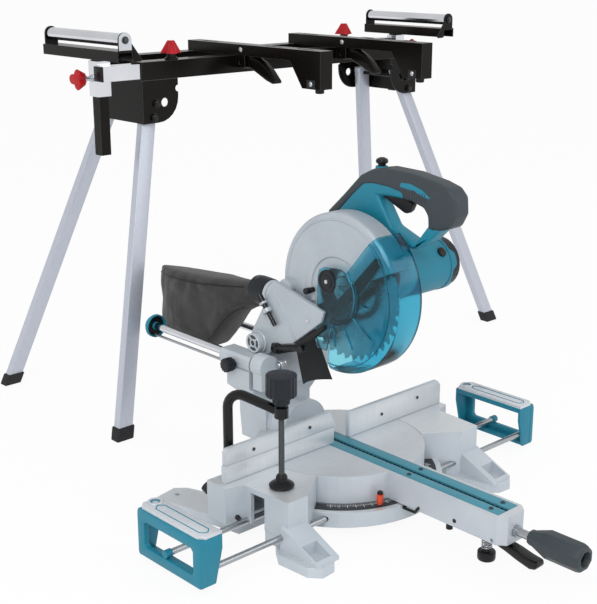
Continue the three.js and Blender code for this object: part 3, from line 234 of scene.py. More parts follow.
# The finish of each CAD node. Most of them are replaced below and do not show.
CAD_FINISHES = (
    (satin_black, "stand_beam left_leg_bracket right_leg_bracket left_mount_arm right_mount_arm "
                  "left_roller_bracket right_roller_bracket"),
    (stand_chrome, "left_extension right_extension left_roller right_roller left_slide_pipe "
                   "right_slide_pipe"),
    (black_plastic, "left_arm_lever right_arm_lever levelling_foot detent_lever trigger switch "
                    "lock_off_button"),
    (red_knob, "left_post_knob right_post_knob left_rail_knob right_rail_knob"),
    (leg_alloy, "front_left_leg rear_left_leg front_right_leg rear_right_leg"),
    (milled_table, "saw_base"),
    (milled_fence, "right_fence left_fence sliding_fence"),
    (teal, "left_wing right_wing motor_housing"),
    (dark_plastic, "left_wing_screw right_wing_screw mitre_grip bevel_knob slide_lock_knob motor_end_cap "
                   "vise_screw"),
    (milled_turntable, "turn_base"),
    (teal_board, "kerf_plate"),
    (cast_grey, "bevel_arm carriage gear_housing dust_nozzle"),
    (shell_grey, "blade_case"),
    (plain_steel, "spindle outer_flange armature spindle_bearing"),
    (blade_steel, "saw_blade"),
    (copper_wire, "stator"),
    (guard_clear, "lower_guard"),
    (dark_grip, "handle"),
    (bag_cloth, "dust_bag"),
    (rubber, "chip_flap"),
    (black_gloss, "vise_frame"),
)
for material, names in CAD_FINISHES:
    for name in names.split():
        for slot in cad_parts[name].material_slots:
            slot.material = material


# -------------------- shape tools
def spot(axis, u, v, along):
    """A point from its two places across an axis and its place along it."""
    return {"x": (along, u, v), "y": (u, along, v), "z": (u, v, along)}[axis]


AXES = {"x": Vector((1, 0, 0)), "y": Vector((0, 1, 0)), "z": Vector((0, 0, 1))}


def soften(bm, width, steps=2, least=28):
    """Rounds every edge of a shape that is sharper than some degrees."""
    bmesh.ops.recalc_face_normals(bm, faces=bm.faces[:])
    sharp = [e for e in bm.edges if e.is_manifold and e.calc_face_angle(0) > math.radians(least)]
    if width and sharp:
        bmesh.ops.bevel(
            bm, geom=sharp, offset=width, offset_type="OFFSET", segments=steps, profile=0.5,
            affect="EDGES", material=-1, clamp_overlap=True,
        )
    return bm


def slab(axis, span, outline, edge=0.8, holes=(), steps=2):
    """A flat outline made thick along one axis, with rounded edges."""
    bm = bmesh.new()
    loops = []
    for path in (outline, *holes):
        ring = [bm.verts.new(spot(axis, u, v, span[0])) for u, v in path]
        loops += [bm.edges.new((ring[i - 1], ring[i])) for i in range(len(ring))]
    bmesh.ops.triangle_fill(bm, use_beauty=True, use_dissolve=not holes, edges=loops)
    raised = bmesh.ops.extrude_face_region(bm, geom=bm.faces[:])
    moved = [g for g in raised["geom"] if isinstance(g, bmesh.types.BMVert)]
    bmesh.ops.translate(bm, vec=AXES[axis] * (span[1] - span[0]), verts=moved)
    return soften(bm, edge, steps)


def block(xs, ys, zs, edge=0.8):
    """A box between three pairs of bounds, with rounded edges."""
    bm = bmesh.new()
    size = [hi - lo for lo, hi in (xs, ys, zs)]
    middle = [(hi + lo) / 2 for lo, hi in (xs, ys, zs)]
    place = Matrix.Translation(middle) @ Matrix.Diagonal((*size, 1))
    bmesh.ops.create_cube(bm, size=1, matrix=place)
    return soften(bm, edge)


def turned(axis, centre, profile, steps=40, ring=False):
    """A body turned on an axis. The profile's points are (place along the axis, radius)."""
    bm = bmesh.new()
    points = list(profile) if ring else [(profile[0][0], 0), *profile, (profile[-1][0], 0)]
    line = [bm.verts.new(spot(axis, centre[0] + r, centre[1], along)) for along, r in points]
    edges = [bm.edges.new((line[i], line[i + 1])) for i in range(len(line) - 1)]
    if ring:
        edges.append(bm.edges.new((line[-1], line[0])))
    bmesh.ops.spin(
        bm, geom=line + edges, cent=spot(axis, *centre, 0), axis=AXES[axis], dvec=(0, 0, 0),
        angle=2 * math.pi, steps=steps, use_merge=True, use_duplicate=False,
    )
    bmesh.ops.remove_doubles(bm, verts=bm.verts[:], dist=1e-4)
    bmesh.ops.recalc_face_normals(bm, faces=bm.faces[:])
    return bm


def swept(centre, section, start, end, steps=40):
    """A section of (x, radius) points swept round the X axis, in degrees from the front over the top."""
    bm = bmesh.new()
    a = math.radians(start)
    ring = [bm.verts.new((x, centre[0] - r * math.cos(a), centre[1] + r * math.sin(a))) for x, r in section]
    face = bm.faces.new(ring)
    bmesh.ops.spin(
        bm, geom=[face], cent=(0, *centre), axis=(-1, 0, 0), dvec=(0, 0, 0),
        angle=math.radians(end - start), steps=steps, use_merge=False, use_duplicate=False,
    )
    bmesh.ops.recalc_face_normals(bm, faces=bm.faces[:])
    return bm


def together(*shapes):
    """Several shapes as one mesh."""
    first, *others = shapes
    for other in others:
        between = bpy.data.meshes.new("between")
        other.to_mesh(between)
        other.free()
        first.from_mesh(between)
        bpy.data.meshes.remove(between)
    return first


def rounded(points, bend, turns=7):
    """A path of straight runs whose corners are rounded to a radius."""
    path = [Vector(points[0])]
    for before, corner, after in zip(points, points[1:], points[2:]):
        corner = Vector(corner)
        back, ahead = (Vector(before) - corner).normalized(), (Vector(after) - corner).normalized()
        half = back.angle(ahead) / 2
        reach = bend / math.tan(half)
        start, stop = corner + back * reach, corner + ahead * reach
        hub = corner + (back + ahead).normalized() * bend / math.sin(half)
        for i in range(turns + 1):
            way = (start - hub).slerp(stop - hub, i / turns)
            path.append(hub + way * bend)
    path.append(Vector(points[-1]))
    return path


def bar(path, radius, sides=6):
    """A round bar along a path of points."""
    curve = bpy.data.curves.new("bar", "CURVE")
    curve.dimensions = "3D"
    curve.bevel_depth = radius
    curve.bevel_resolution = sides
    curve.use_fill_caps = True
    line = curve.splines.new("POLY")
    line.points.add(len(path) - 1)
    for point, place in zip(line.points, path):
        point.co = (*place, 1)
    holder = bpy.data.objects.new("bar", curve)
    bpy.context.scene.collection.objects.link(holder)
    mesh = bpy.data.meshes.new_from_object(holder.evaluated_get(bpy.context.evaluated_depsgraph_get()))
    bm = bmesh.new()
    bm.from_mesh(mesh)
    bpy.data.objects.remove(holder)
    bpy.data.curves.remove(curve)
    bpy.data.meshes.remove(mesh)
    bmesh.ops.remove_doubles(bm, verts=bm.verts[:], dist=1e-3)
    bmesh.ops.recalc_face_normals(bm, faces=bm.faces[:])
    return bm


def polar(centre, radius, turn):
    """A point in a plane at an angle, in radians."""
    return centre[0] + radius * math.cos(turn), centre[1] + radius * math.sin(turn)


def helix(axis, centre, radius, span, turns):
    """Points along a spring's wire."""
    each = 14
    count = turns * each
    return [
        spot(axis, *polar(centre, radius, 2 * math.pi * i / each), span[0] + (span[1] - span[0]) * i / count)
        for i in range(count + 1)
    ]


def circle(centre, radius, count=24, start=0.0, sweep=360.0):
    """Points of an arc in an outline; a full circle leaves its last point out."""
    turns = [math.radians(start + sweep * i / count) for i in range(count if sweep >= 360 else count + 1)]
    return [polar(centre, radius, a) for a in turns]


def frontwise(centre, radius, start, end, count):
    """Points of an arc in a (y, z) outline, in degrees from the front over the top."""
    return circle(centre, radius, count, 180 - start, start - end)


def fluted(centre, radius, depth, count):
    """A circle with shallow flutes, which reach in to a share of its radius."""
    return [
        tuple(c + (p - c) * (1 if i % 4 < 2 else depth) for c, p in zip(centre, point))
        for i, point in enumerate(circle(centre, radius, count))
    ]


def lobes(centre, radius, valley, count):
    """The outline of a star knob."""
    points = []
    for i in range(count * 12):
        a = math.pi * i / (count * 6)
        reach = valley + (radius - valley) * (0.5 + 0.5 * math.cos(a * count)) ** 0.7
        points.append(polar(centre, reach, a))
    return points


def rod(axis, centre, span, radius, steps=24):
    """A plain cylinder."""
    return turned(axis, centre, [(place, radius) for place in span], steps)


def spun(shape, axis, centre, degrees):
    """A shape turned round a point."""
    turn = Matrix.Rotation(math.radians(degrees), 3, axis)
    bmesh.ops.rotate(shape, cent=centre, matrix=turn, verts=shape.verts[:])
    return shape


def hex_bolt(axis, centre, face, way, across=7, head=4.5, washer=9.5):
    """A hexagon head on a round washer, standing on a face and pointing one way."""
    ring = turned(axis, centre, sorted([(face, washer), (face + way * 1.2, washer)]), 28)
    span = sorted((face + way * 1.2, face + way * (1.2 + head)))
    return together(ring, slab(axis, span, circle(centre, across, 6, 15), 0.7))


def socket_screw(axis, centre, face, way, radius=3.6):
    """A low round head with a sunk round socket."""
    profile = [(face, radius), (face + way * 1.2, radius), (face + way * 1.6, radius - 0.6),
               (face + way * 1.6, radius * 0.5), (face + way * 0.4, radius * 0.5)]
    return turned(axis, centre, profile, 20)


def piece(name, shape, origin, material, body, stands_for=(), smooth=32):
    """Finishes a shape: to metres, in its place, riding on a body."""
    bmesh.ops.transform(shape, matrix=Matrix.Translation(origin) @ Matrix.Scale(0.001, 4),
                        verts=shape.verts[:])
    for edge in shape.edges:
        edge.smooth = edge.calc_face_angle(0) < math.radians(smooth)
    for face in shape.faces:
        face.smooth = True
    mesh = bpy.data.meshes.new(name)
    shape.to_mesh(mesh)
    shape.free()
    mesh.materials.append(material)
    made = bpy.data.objects.new(name, mesh)
    bpy.context.scene.collection.objects.link(made)
    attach(made, body)
    if stands_for:
        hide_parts(*stands_for)
    return made


SIDES = (("left", -1), ("right", 1))


def on_head(name, shape, material):
    """A piece that turns with the head."""
    return piece(name, shape, SAW, material, "head")


def ordered(sign, near, far):
    """A span on the left or the right, its lower end first."""
    return (near, far) if sign > 0 else (-far, -near)


def sided(sign, outline):
    """An outline on the left or the right."""
    return [(sign * u, v) for u, v in outline]


# -------------------- stand: legs with rubber feet
LEG_PIN, LEG_FOOT = (330, 53.5, 556), (509, 190)
LEG_TUBE, LEG_HEAD, LEG_RIM = (29.4, 16.4), 14, 1.8
FOOT_HIGH, FOOT_WALL = 22, 5
for side, sign in SIDES:
    for end, way in (("front", -1), ("rear", 1)):
        leg = f"{end}_{side}_leg"
        pin = Vector((sign * LEG_PIN[0], way * LEG_PIN[1], LEG_PIN[2]))
        ground = Vector((sign * LEG_FOOT[0], way * LEG_FOOT[1], 0))
        lean = (pin - ground) / pin.z
        shear = Matrix(((1, 0, lean.x, ground.x), (0, 1, lean.y, ground.y), (0, 0, 1, 0), (0, 0, 0, 1)))
        tube, foot = [
            block(*[(-(wide + grow) / 2, (wide + grow) / 2) for wide in LEG_TUBE], span, 0)
            for span, grow in (((2, LEG_PIN[2] + LEG_HEAD), 0), ((0, FOOT_HIGH), FOOT_WALL))
        ]
        top = [f for f in tube.faces if f.normal.z > 0.9]
        bmesh.ops.inset_region(tube, faces=top, thickness=LEG_RIM)
        bmesh.ops.translate(tube, vec=(0, 0, -40), verts=top[0].verts[:])
        for shape, corner in ((tube, 1.6), (foot, 2.2)):
            soften(shape, corner, 3)
            bmesh.ops.transform(shape, matrix=shear, verts=shape.verts[:])
        piece(f"{leg}_tube", tube, STAND, leg_alloy, leg, (leg,))
        piece(f"{leg}_rubber_foot", foot, STAND, rubber, leg)


# -------------------- stand: bolts, knobs and trim
def cone_knob(axis, span, centre, wide, narrow, outer):
    """A three-lobed knob that is wide at one end of its axis and narrow at the other."""
    knob = slab(axis, span, lobes(centre, wide, wide * 0.52, 3), 0)
    way = AXES[axis]
    middle = Vector(spot(axis, *centre, 0))
    for vert in knob.verts:
        along = way * vert.co.dot(way)
        if abs(vert.co.dot(way) - outer) > 1e-4:
            vert.co = middle + along + (vert.co - along - middle) * (narrow / wide)
    return soften(knob, 1.8, 3, 40)


POST_SCREW, RAIL_SCREW = (36.3, 605), (282, 63)
ARM_AT, ARM_HALF = 132, 14.6
RAIL_TUBE, RAIL_AT = 12.9, (63, 614)
ROLLER, CRADLE_END = (418, 673), 116.8
for side, sign in SIDES:
    bracket, knob_body, rail_body = f"{side}_leg_bracket", f"{side}_post_knob", f"{side}_rail_knob"
    mount, lever, post = f"{side}_mount_arm", f"{side}_arm_lever", f"{side}_roller_post"
    pivot, lock = (sign * LEG_PIN[0], LEG_PIN[2]), (sign * (LEG_PIN[0] + 6), LEG_PIN[2] - 24)
    bolts = [hex_bolt("y", at, way * 79, way, 6.4, 4.5, 8.6) for way in (-1, 1) for at in (pivot, lock)]
    piece(f"{side}_bracket_bolts", together(*bolts), STAND, black_gloss, "frame")

    at = (sign * POST_SCREW[0], POST_SCREW[1])
    knob = cone_knob("x", ordered(sign, 451, 468.2), at, 20, 11, sign * 468.2)
    piece(f"{side}_post_star_knob", knob, STAND, red_knob, knob_body, (knob_body,))
    stud = together(
        rod("x", at, ordered(sign, 432.2, 449.6), 3.9), rod("x", at, ordered(sign, 449, 451.4), 7.5),
        slab("x", ordered(sign, 433, 437), circle(at, 6.6, 6, 10), 0.6),
    )
    piece(f"{side}_post_knob_stud", stud, STAND, zinc, knob_body)
    at = (sign * RAIL_SCREW[0], sign * RAIL_SCREW[1])
    piece(f"{side}_rail_star_knob", cone_knob("z", (640.6, 663), at, 21, 7, 640.6), STAND, red_knob,
          rail_body, (rail_body,))
    collar = turned("z", at, [(630.3, 12), (633, 12), (634, 8.5), (641, 8.5)], 28)
    piece(f"{side}_rail_knob_collar", collar, STAND, black_plastic, rail_body)

    arm = sign * ARM_AT
    blade = slab("x", (arm - 9, arm + 9), [
        (-84, 622), (-90, 628), (-104, 630), (-122, 630), (-146, 620), (-165, 607), (-182, 590), (-183, 585),
        (-175, 584), (-158, 589), (-137, 598.5), (-115, 608), (-104, 608), (-93, 606), (-84, 610),
    ], 2, steps=3)
    piece(f"{side}_arm_lever_blade", blade, STAND, satin_black, lever, (lever,))
    screws = []
    for way in (-1, 1):
        face = arm + way * ARM_HALF
        for at, radius in (((-96, 641), 4.6), ((-284, 593), 4.4)):
            profile = [(face, radius), (face + way * 1.4, radius), (face + way * 2.9, radius * 0.55)]
            screws.append(turned("x", at, sorted(profile), 20))
    piece(f"{side}_arm_bolts", together(*screws), STAND, zinc, mount)
    buffer = together(
        turned("z", (arm, -291), [(576, 6), (577, 8), (584, 8)], 20),
        *[block((arm + a, arm + b), (-295, -274), (585, 600), 0.6) for a, b in ((-16, -14.4), (14.4, 16))],
    )
    piece(f"{side}_arm_buffer", buffer, STAND, rubber, mount)

    y, z = RAIL_AT
    plug = block(ordered(sign, 436.2, 440), ordered(sign, y - RAIL_TUBE, y + RAIL_TUBE),
                 (z - RAIL_TUBE, z + RAIL_TUBE), 1.4)
    piece(f"{side}_tube_end_plug", plug, STAND, black_plastic, f"{side}_extension")
    at = (sign * ROLLER[0], ROLLER[1])
    bolts = [hex_bolt("y", at, way * CRADLE_END, way, 4.6, 3, 6.5) for way in (-1, 1)]
    piece(f"{side}_roller_bolts", together(*bolts), STAND, threaded, post)
# A zinc-coloured plate on the left cradle's front tab only: a painted reflection on the glossy black tab.
tab = [(-431, 656), (-405, 656), *circle((-ROLLER[0], ROLLER[1]), 13, 14, 0, 180)]
piece("left_roller_painted_reflection", slab("y", (-CRADLE_END, -116.05), tab, 0.2, steps=1), STAND, zinc,
      "left_roller_post")
for side, sign in SIDES:
    outline = sided(sign, [(404, 655), (404, 667), (384, 640), (386, 636), (401, 636)])
    piece(f"{side}_cradle_gusset", slab("y", (-116, -113.2), outline, 0.4, steps=1), STAND, satin_black,
          f"{side}_roller_post")

# -------------------- saw: scale, pointer and feet
band = turned("z", (0, 0), [(43.05, 133.6), (43.9, 133.6), (43.9, 151), (43.05, 151)], 96, ring=True)
piece("mitre_scale_band", band, SAW, scale_black, "frame")
SCALE_REACH, SCALE_EDGE = 52, -135
marks = []
for degrees in range(-SCALE_REACH, SCALE_REACH + 1):
    half, long = (0.22, 5.5) if degrees % 5 else (0.4, 9)
    mark = block((-half, half), (SCALE_EDGE - long, SCALE_EDGE), (43.8, 44.05), 0)
    marks.append(spun(mark, "Z", (0, 0, 0), degrees))
piece("mitre_scale_marks", together(*marks), SAW, scale_white, "frame")

pointer = slab("y", (-138.4, -133.8), [(-58, 62), (-46, 62), (-48, 45), (-56, 45)], 0.7)
piece("mitre_pointer", pointer, SAW, pointer_red, "turn_base")
piece("pointer_screw", turned("z", (-52, -136), [(61.6, 4.4), (65, 4.4), (66, 3.4)], 20), SAW, black_plastic,
      "turn_base")

# -------------------- saw: kerf boards
boards = together(*[
    slab("z", (83.2, 87.2), outline, 0.5) for outline in (
        [(-21.8, -325.6), (-4, -325.6), (-4, 59.6), (-21.8, 59.6)],
        [(4, -325.6), (21.8, -325.6), (21.8, 59.6), (4, 59.6)],
    )
])
piece("kerf_boards", boards, SAW, teal_board, "turn_base", ("kerf_plate",))
# Black strips and ridges down in the kerf slot: painted shade that makes the slot look deep and dark.
slot_painted_shade = together(*[block(span, (-325, 59), (82.2, 83.4), 0.1) for span in ((-4.6, -1.8), (1.8, 4.6))],
                      *[block(span, (y, y + 2.2), (83.2, 84.6), 0.1) for y in range(-322, 56, 8)
                        for span in ((-4, -2), (2, 4))])
piece("kerf_slot_painted_shade", slot_painted_shade, SAW, black_plastic, "turn_base")
screws = together(*[
    socket_screw("z", (side_x, y), 87.1, 1, 3.4) for side_x in (-13, 13) for y in (-307, -156.5, 40)
])
piece("kerf_screws", screws, SAW, threaded, "turn_base")

# -------------------- saw: grip, levelling foot and detent lever
GRIP = (0, 62)
grip = turned("y", GRIP, [(-444, 10.5), (-452.5, 11.5), (-453, 13), (-452.6, 15.5), (-450, 18.5), (-444, 20),
                          (-394, 20), (-387, 17.5), (-371, 11.5), (-366, 11), (-365, 9)], 8)
soften(spun(grip, "Y", (0, -400, GRIP[1]), 22.5), 1.6, 3, 20)
piece("grip_body", grip, SAW, dark_grip, "mitre_grip", ("mitre_grip",))
piece("grip_mouth", rod("y", GRIP, (-444.7, -443.6), 9.8, 28), SAW, black_plastic, "mitre_grip")
piece("grip_shaft", turned("y", GRIP, [(-366.4, 6), (-346, 6), (-346, 8.5), (-340.4, 8.5)], 28), SAW,
      plain_steel, "mitre_grip")

LEVELLER = (0, -293)
knob = turned("z", LEVELLER, [(0, 11), (1, 12.4), (3, 13), (12, 13), (13.4, 12.2), (14, 10.5), (14, 7),
                              (16, 6.2)], 36)
piece("levelling_knob", knob, SAW, black_plastic, "levelling_foot", ("levelling_foot",))
piece("levelling_rod", rod("z", LEVELLER, (14, 70), 4, 20), SAW, plain_steel, "levelling_foot")
piece("levelling_spring", bar(helix("z", LEVELLER, 7, (17, 44), 7), 1, 3), SAW, plain_steel, "turn_base")

lever = slab("x", (-10, 10), [(-384, 26), (-381, 21), (-372, 19), (-350, 24), (-330, 30), (-317, 33),
                              (-316, 52), (-323, 53), (-328, 41), (-348, 38), (-366, 34), (-382, 32)], 2.6,
             steps=3)
piece("detent_thumb_lever", lever, SAW, black_gloss, "detent_lever", ("detent_lever",))
link_rod = bar(rounded([(-18, -160, 41), (-28.6, -160, 41), (-28.6, -184, 41.5), (-28.6, -189, 50),
                        (-20, -189, 50)], 3), 2.2)
piece("detent_link_rod", link_rod, SAW, black_gloss, "turn_base")
piece("nose_stop_peg", turned("z", (-18.7, -240), [(34, 5), (41, 5), (41, 3.6), (45, 3.6)], 20), SAW,
      black_plastic, "turn_base")
# A black disc on the nose's side: painted shade of the pin hole.
piece("nose_pin_hole_shade", rod("x", (-255, 54), (-27.25, -26.4), 3.2, 20), SAW, black_plastic, "turn_base")

# -------------------- saw: fences
FENCE_FOOT = 87.3
RIGHT = [(21, FENCE_FOOT), (238, FENCE_FOOT), (238, 121), (230, 129), (21, 129)]
piece("right_fence_plate", together(
    slab("y", (0, 8), RIGHT, 0.8),
    block((150, 234), (7, 24), (FENCE_FOOT, 94.3), 0.8),
    slab("x", (176, 181), [(8, 94), (22, 94), (8, 118)], 0.6),
), SAW, milled_fence, "frame", ("right_fence",))
piece("left_fence_plate", together(
    slab("y", (0, 8), [(-231, FENCE_FOOT), (-12, FENCE_FOOT), (-12, 114), (-231, 114)], 0.8),
    block((-226, -50), (2.6, 5.4), (113, 119), 0.3),
    block((-180, -150), (7, 24), (FENCE_FOOT, 94.3), 0.8),
), SAW, milled_fence, "frame", ("left_fence",))
piece("sliding_fence_plate", together(
    slab("y", (0, 8), [(-229, 114.3), (-7, 114.3), (-20, 140), (-224, 140), (-229, 135)], 0.8),
    block((-200, -60), (8, 12), (120, 134), 0.8),
), SAW, milled_fence, "sliding_fence", ("sliding_fence",))
for node, body, places in (("right_fence", "frame", ((95, 106), (180, 112))),
                           ("sliding_fence", "sliding_fence", ((-176, 126), (-64, 128)))):
    screws = together(*[socket_screw("y", at, 0.15, -1, 2.6) for at in places])
    piece(f"{node}_screws", screws, SAW, threaded, body)

# -------------------- saw: extension wings
WING_RODS, WING_ROD_HIGH, WING_DISC = (-97, -25), 33, (337, 23)
for side, sign in SIDES:
    wing, disc = f"{side}_wing", (sign * WING_DISC[0], WING_DISC[1])
    web = slab("x", ordered(sign, 351, 360), [
        (-103, 12), (33, 12), (35, 16), (35, 76), (33, 82), (-103, 82), (-105, 76), (-105, 16),
    ], 1.2, holes=[[(-88, 31), (-84, 27), (16, 27), (20, 31), (20, 62), (16, 66), (-84, 66), (-88, 62)]])
    outline = sided(sign, [(334, 12.6), (358.4, 12.6), (358.4, 81.4), (322, 81.4), (322, 61)])
    ends = [slab("y", (y, y + 4.2), outline, 0.6) for y in (-104.4, 30.2)]
    outline = [(322.4, -104), (350.6, -104), (357.8, -96.5), (357.8, 26.5), (350.6, 34), (322.4, 34)]
    opening = sided(sign, [(325, -99), (350, -99), (350, 29), (325, 29)])
    rim = slab("z", (74, 83), sided(sign, outline), 0.8, holes=[opening])
    sole = block(ordered(sign, 334.5, 358), (-103.8, 33.8), (12.9, 17), 0.8)
    bosses = [rod("x", (y, WING_ROD_HIGH), ordered(sign, 349, 359.4), 6) for y in WING_RODS]
    piece(f"{wing}_bracket", together(web, *ends, rim, sole, *bosses), SAW, teal, wing, (wing,))
    outline = [(322.4, -104.6), (350, -104.6), (358, -96), (358, 26), (350, 34.6), (334, 34.6), (322.4, 30)]
    piece(f"{wing}_plate", slab("z", (82.4, 86.9), sided(sign, outline), 0.6), SAW, plate_white, wing)
    path = [(333, -44), (333, -90), (341, -97), (349, -90), (349, 6), (341, 13), (333, 6), (333, -43.5)]
    trim = bar(rounded([(sign * x, y, 86.9) for x, y in path], 3), 0.75, 2)
    dot = turned("z", disc, [(86, 7.4), (87.4, 7.4), (87.4, 4.6), (86, 4.6)], 28, ring=True)
    piece(f"{wing}_trim", together(trim, dot), SAW, teal, wing)
    ring = turned("z", disc, [(86, 11), (88.4, 11), (89, 10.4), (89, 7.6), (86, 7.6)], 32, ring=True)
    piece(f"{wing}_stop", ring, SAW, plate_white, wing)
    rods = together(*[rod("x", (y, WING_ROD_HIGH), ordered(sign, 126, 352), 4.5) for y in WING_RODS])
    piece(f"{wing}_rods", rods, SAW, plain_steel, wing)

# -------------------- saw: vise
VISE = (-176, -60)
post = bar(rounded([(-207, 20, 48), (-207, 20, 222), (-173.9, -65.4, 199.6)], 22), 7.3, 8)
eye = turned("z", VISE, [(192.5, 9), (193.5, 10.3), (208.5, 10.3), (209.5, 9)], 32)
piece("vise_bar", together(post, eye), SAW, black_gloss, "vise", ("vise_frame",))
knob = together(
    slab("z", (226, 257), fluted(VISE, 22.2, 0.955, 72), 2.2, steps=3),
    turned("z", VISE, [(214, 10), (214, 12), (221, 13), (226.5, 16)], 32),
)
piece("vise_knob", knob, SAW, dark_plastic, "vise_screw", ("vise_screw",))
thread = [(x, 4.5 if i % 2 else 3.9) for i, x in enumerate([104 + 1.25 * k for k in range(88)])]
piece("vise_rod", turned("z", VISE, thread, 18), SAW, threaded, "vise_screw")
shoe = turned("z", VISE, [(88, 16), (88.6, 18), (91, 18.4), (94, 15), (97, 9), (104, 8), (106, 6.6)], 36)
piece("vise_shoe", shoe, SAW, black_plastic, "vise_screw")

# -------------------- saw: slide pipes with their caps
for side, sign in SIDES:
    at, pipe = (sign * 56, 195), f"{side}_slide_pipe"
    tube = turned("y", at, [(104, 6.2), (104.3, 6.5), (391.8, 6.5)], 36)
    piece(f"{side}_pipe", tube, SAW, stand_chrome, "carriage", (pipe,))
    bell = turned("y", at, [(391, 6.9), (397, 6.9), (397, 17), (392, 18.2), (391.4, 19.4), (393, 20),
                            (398, 20), (405, 15.5), (408.6, 12), (409, 10), (409, 0.2)], 40)
    piece(f"{side}_pipe_cap", bell, SAW, teal, "carriage")
    # A black ring at the bottom of the cap's recess: painted shade in the recess.
    dark = turned("y", at, [(396.4, 7), (396.4, 16.8), (396.9, 16.8), (396.9, 7)], 36, ring=True)
    piece(f"{side}_pipe_recess_shade", dark, SAW, black_plastic, "carriage")
piece("slide_stop_rod", rod("y", (-60, 181), (206, 393), 2.3, 16), SAW, plain_steel, "carriage")

# -------------------- saw: knobs on the arm and the carriage
LOCK = (164, 191)
knob = together(
    slab("x", (-94, -79), fluted(LOCK, 11.4, 0.9, 48), 1.4),
    turned("x", LOCK, [(-94.6, 5), (-94.6, 6), (-93, 7)], 24),
    rod("x", LOCK, (-79.5, -64), 6),
)
piece("slide_lock_grip", knob, SAW, dark_plastic, "slide_lock_knob", ("slide_lock_knob",))

PIVOT = (144, 224)
ring = turned("x", PIVOT, [(-52.4, 15.2), (-51.8, 16), (-47, 16), (-47, 12.6), (-51.8, 12.6), (-52.4, 13.4)],
              40, ring=True)
spokes = []
for turn in range(4):
    rib = block((-51.8, -49.6), (PIVOT[0] - 1.6, PIVOT[0] + 1.6), (PIVOT[1] + 5, PIVOT[1] + 13.4), 0.4)
    spokes.append(spun(rib, "X", (0, *PIVOT), 45 + 90 * turn))
collar = turned("x", PIVOT, [(-52.2, 7), (-49, 7), (-49, 4.4), (-52.2, 4.4)], 28, ring=True)
piece("pivot_boss_ring", together(ring, collar, *spokes), SAW, cast_grey, "carriage")
hollow = rod("x", PIVOT, (-50.3, -49.6), 12.7, 36)
piece("pivot_boss_hollow", hollow, SAW, threaded, "carriage")
piece("pivot_bolt", slab("x", (-52, -49), circle(PIVOT, 4.2, 6), 0.6), SAW, threaded, "carriage")

# -------------------- saw: upper blade case and its cheeks
BLADE = (-12, 334)


def rounded_section(x0, x1, outer, inner, corner, skin):
    """The section of a shell round the blade: two sides and a rounded rim."""
    turns = [math.pi / 2 * i / 5 for i in range(6)]
    return [
        (x0, inner),
        *[(x0 + corner - corner * math.cos(a), outer - corner + corner * math.sin(a)) for a in turns],
        *[(x1 - corner + corner * math.sin(a), outer - corner + corner * math.cos(a)) for a in turns],
        (x1, inner), (x1 - skin, inner), (x1 - skin, outer - corner), (x1 - corner, outer - skin),
        (x0 + corner, outer - skin), (x0 + skin, outer - corner), (x0 + skin, inner),
    ]


case = swept(BLADE, rounded_section(-20, 22, 119, 36, 7, 2.4), 25, 215, 64)
lip = swept(BLADE, [(-19.4, 52), (-22.2, 54), (-22.4, 58), (-22.4, 64), (-19.4, 70)], 24, 205, 48)
ridge = swept(BLADE, [(-20, 108), (-20.8, 108.4), (-20.8, 110), (-20, 110.6)], 26, 214, 64)
CHEEK = [(0, 304), (6, 286), (68, 238), (104, 228), (124, 206), (150, 203), (164, 216), (164, 236),
         (140, 276), (112, 330)]
left_cheek = slab("x", (-37, -28.3), CHEEK, 1.8, steps=3)
seam = slab("x", (-38.2, -36.5), [(60, 247), (63, 245), (112, 318), (108, 320)], 0.5)
right_cheek = slab("x", (28.3, 32.7), CHEEK[2:] + [(96, 380), (84, 428), (62, 424), (74, 380), (90, 330),
                                                   (70, 262)], 1.2)
ears = [turned("x", PIVOT, sorted([(sign * 24.6, 19), (sign * 40.5, 19), (sign * 42, 17.5)]), 40)
        for sign in (-1, 1)]
bosses = [turned("x", (92, 322), span, 28) for span in ([(-30, 13), (-19, 13)], [(21, 13), (30, 13)])]
piece("upper_blade_case", together(case, lip, ridge, left_cheek, seam, right_cheek, *ears, *bosses), SAW,
      shell_grey, "head", ("blade_case",))
on_head("cheek_bolts", together(
    socket_screw("x", (34, 284), -37, -1, 4.4), socket_screw("x", (120, 262), -37, -1, 3.2),
), zinc)
thumb_screw = turned("x", (39, 328), [(-38, 4), (-37, 5), (-28, 5), (-27, 4), (-19.6, 4)], 24)
on_head("case_thumb_screw", thumb_screw, black_plastic)
skirt = slab("x", (-36.6, -30), [(2, 283), (-2, 279), (22, 258), (64, 226), (98, 214), (112, 212), (102, 226),
                                 (68, 236)], 1.2)
on_head("cheek_rubber_skirt", skirt, rubber)

# -------------------- saw: blade and guard
TEETH = 40
TOOTH = ((0, 108), (0.06, 105.5), (0.1, 101.5), (0.24, 99.2), (0.45, 100.4), (0.62, 104.2), (0.94, 107))
points = []
for i in range(TEETH):
    for turn, radius in TOOTH:
        points.append(polar(BLADE, radius, 2 * math.pi * (i + turn) / TEETH))
disc = slab("x", (-1, 1), points, 0, holes=[circle(BLADE, 12.5, 24)])
piece("toothed_blade", disc, SAW, blade_steel, "spindle", ("saw_blade",), smooth=20)
flange = together(
    turned("x", BLADE, [(-1.3, 22), (-5, 22), (-6, 20.6), (-6, 12), (-4.6, 11), (-4.6, 0.5)][::-1], 40),
    slab("x", (-14, -4.6), circle(BLADE, 8.6, 6), 0.8),
)
piece("blade_flange", flange, SAW, plain_steel, "spindle", ("outer_flange",))

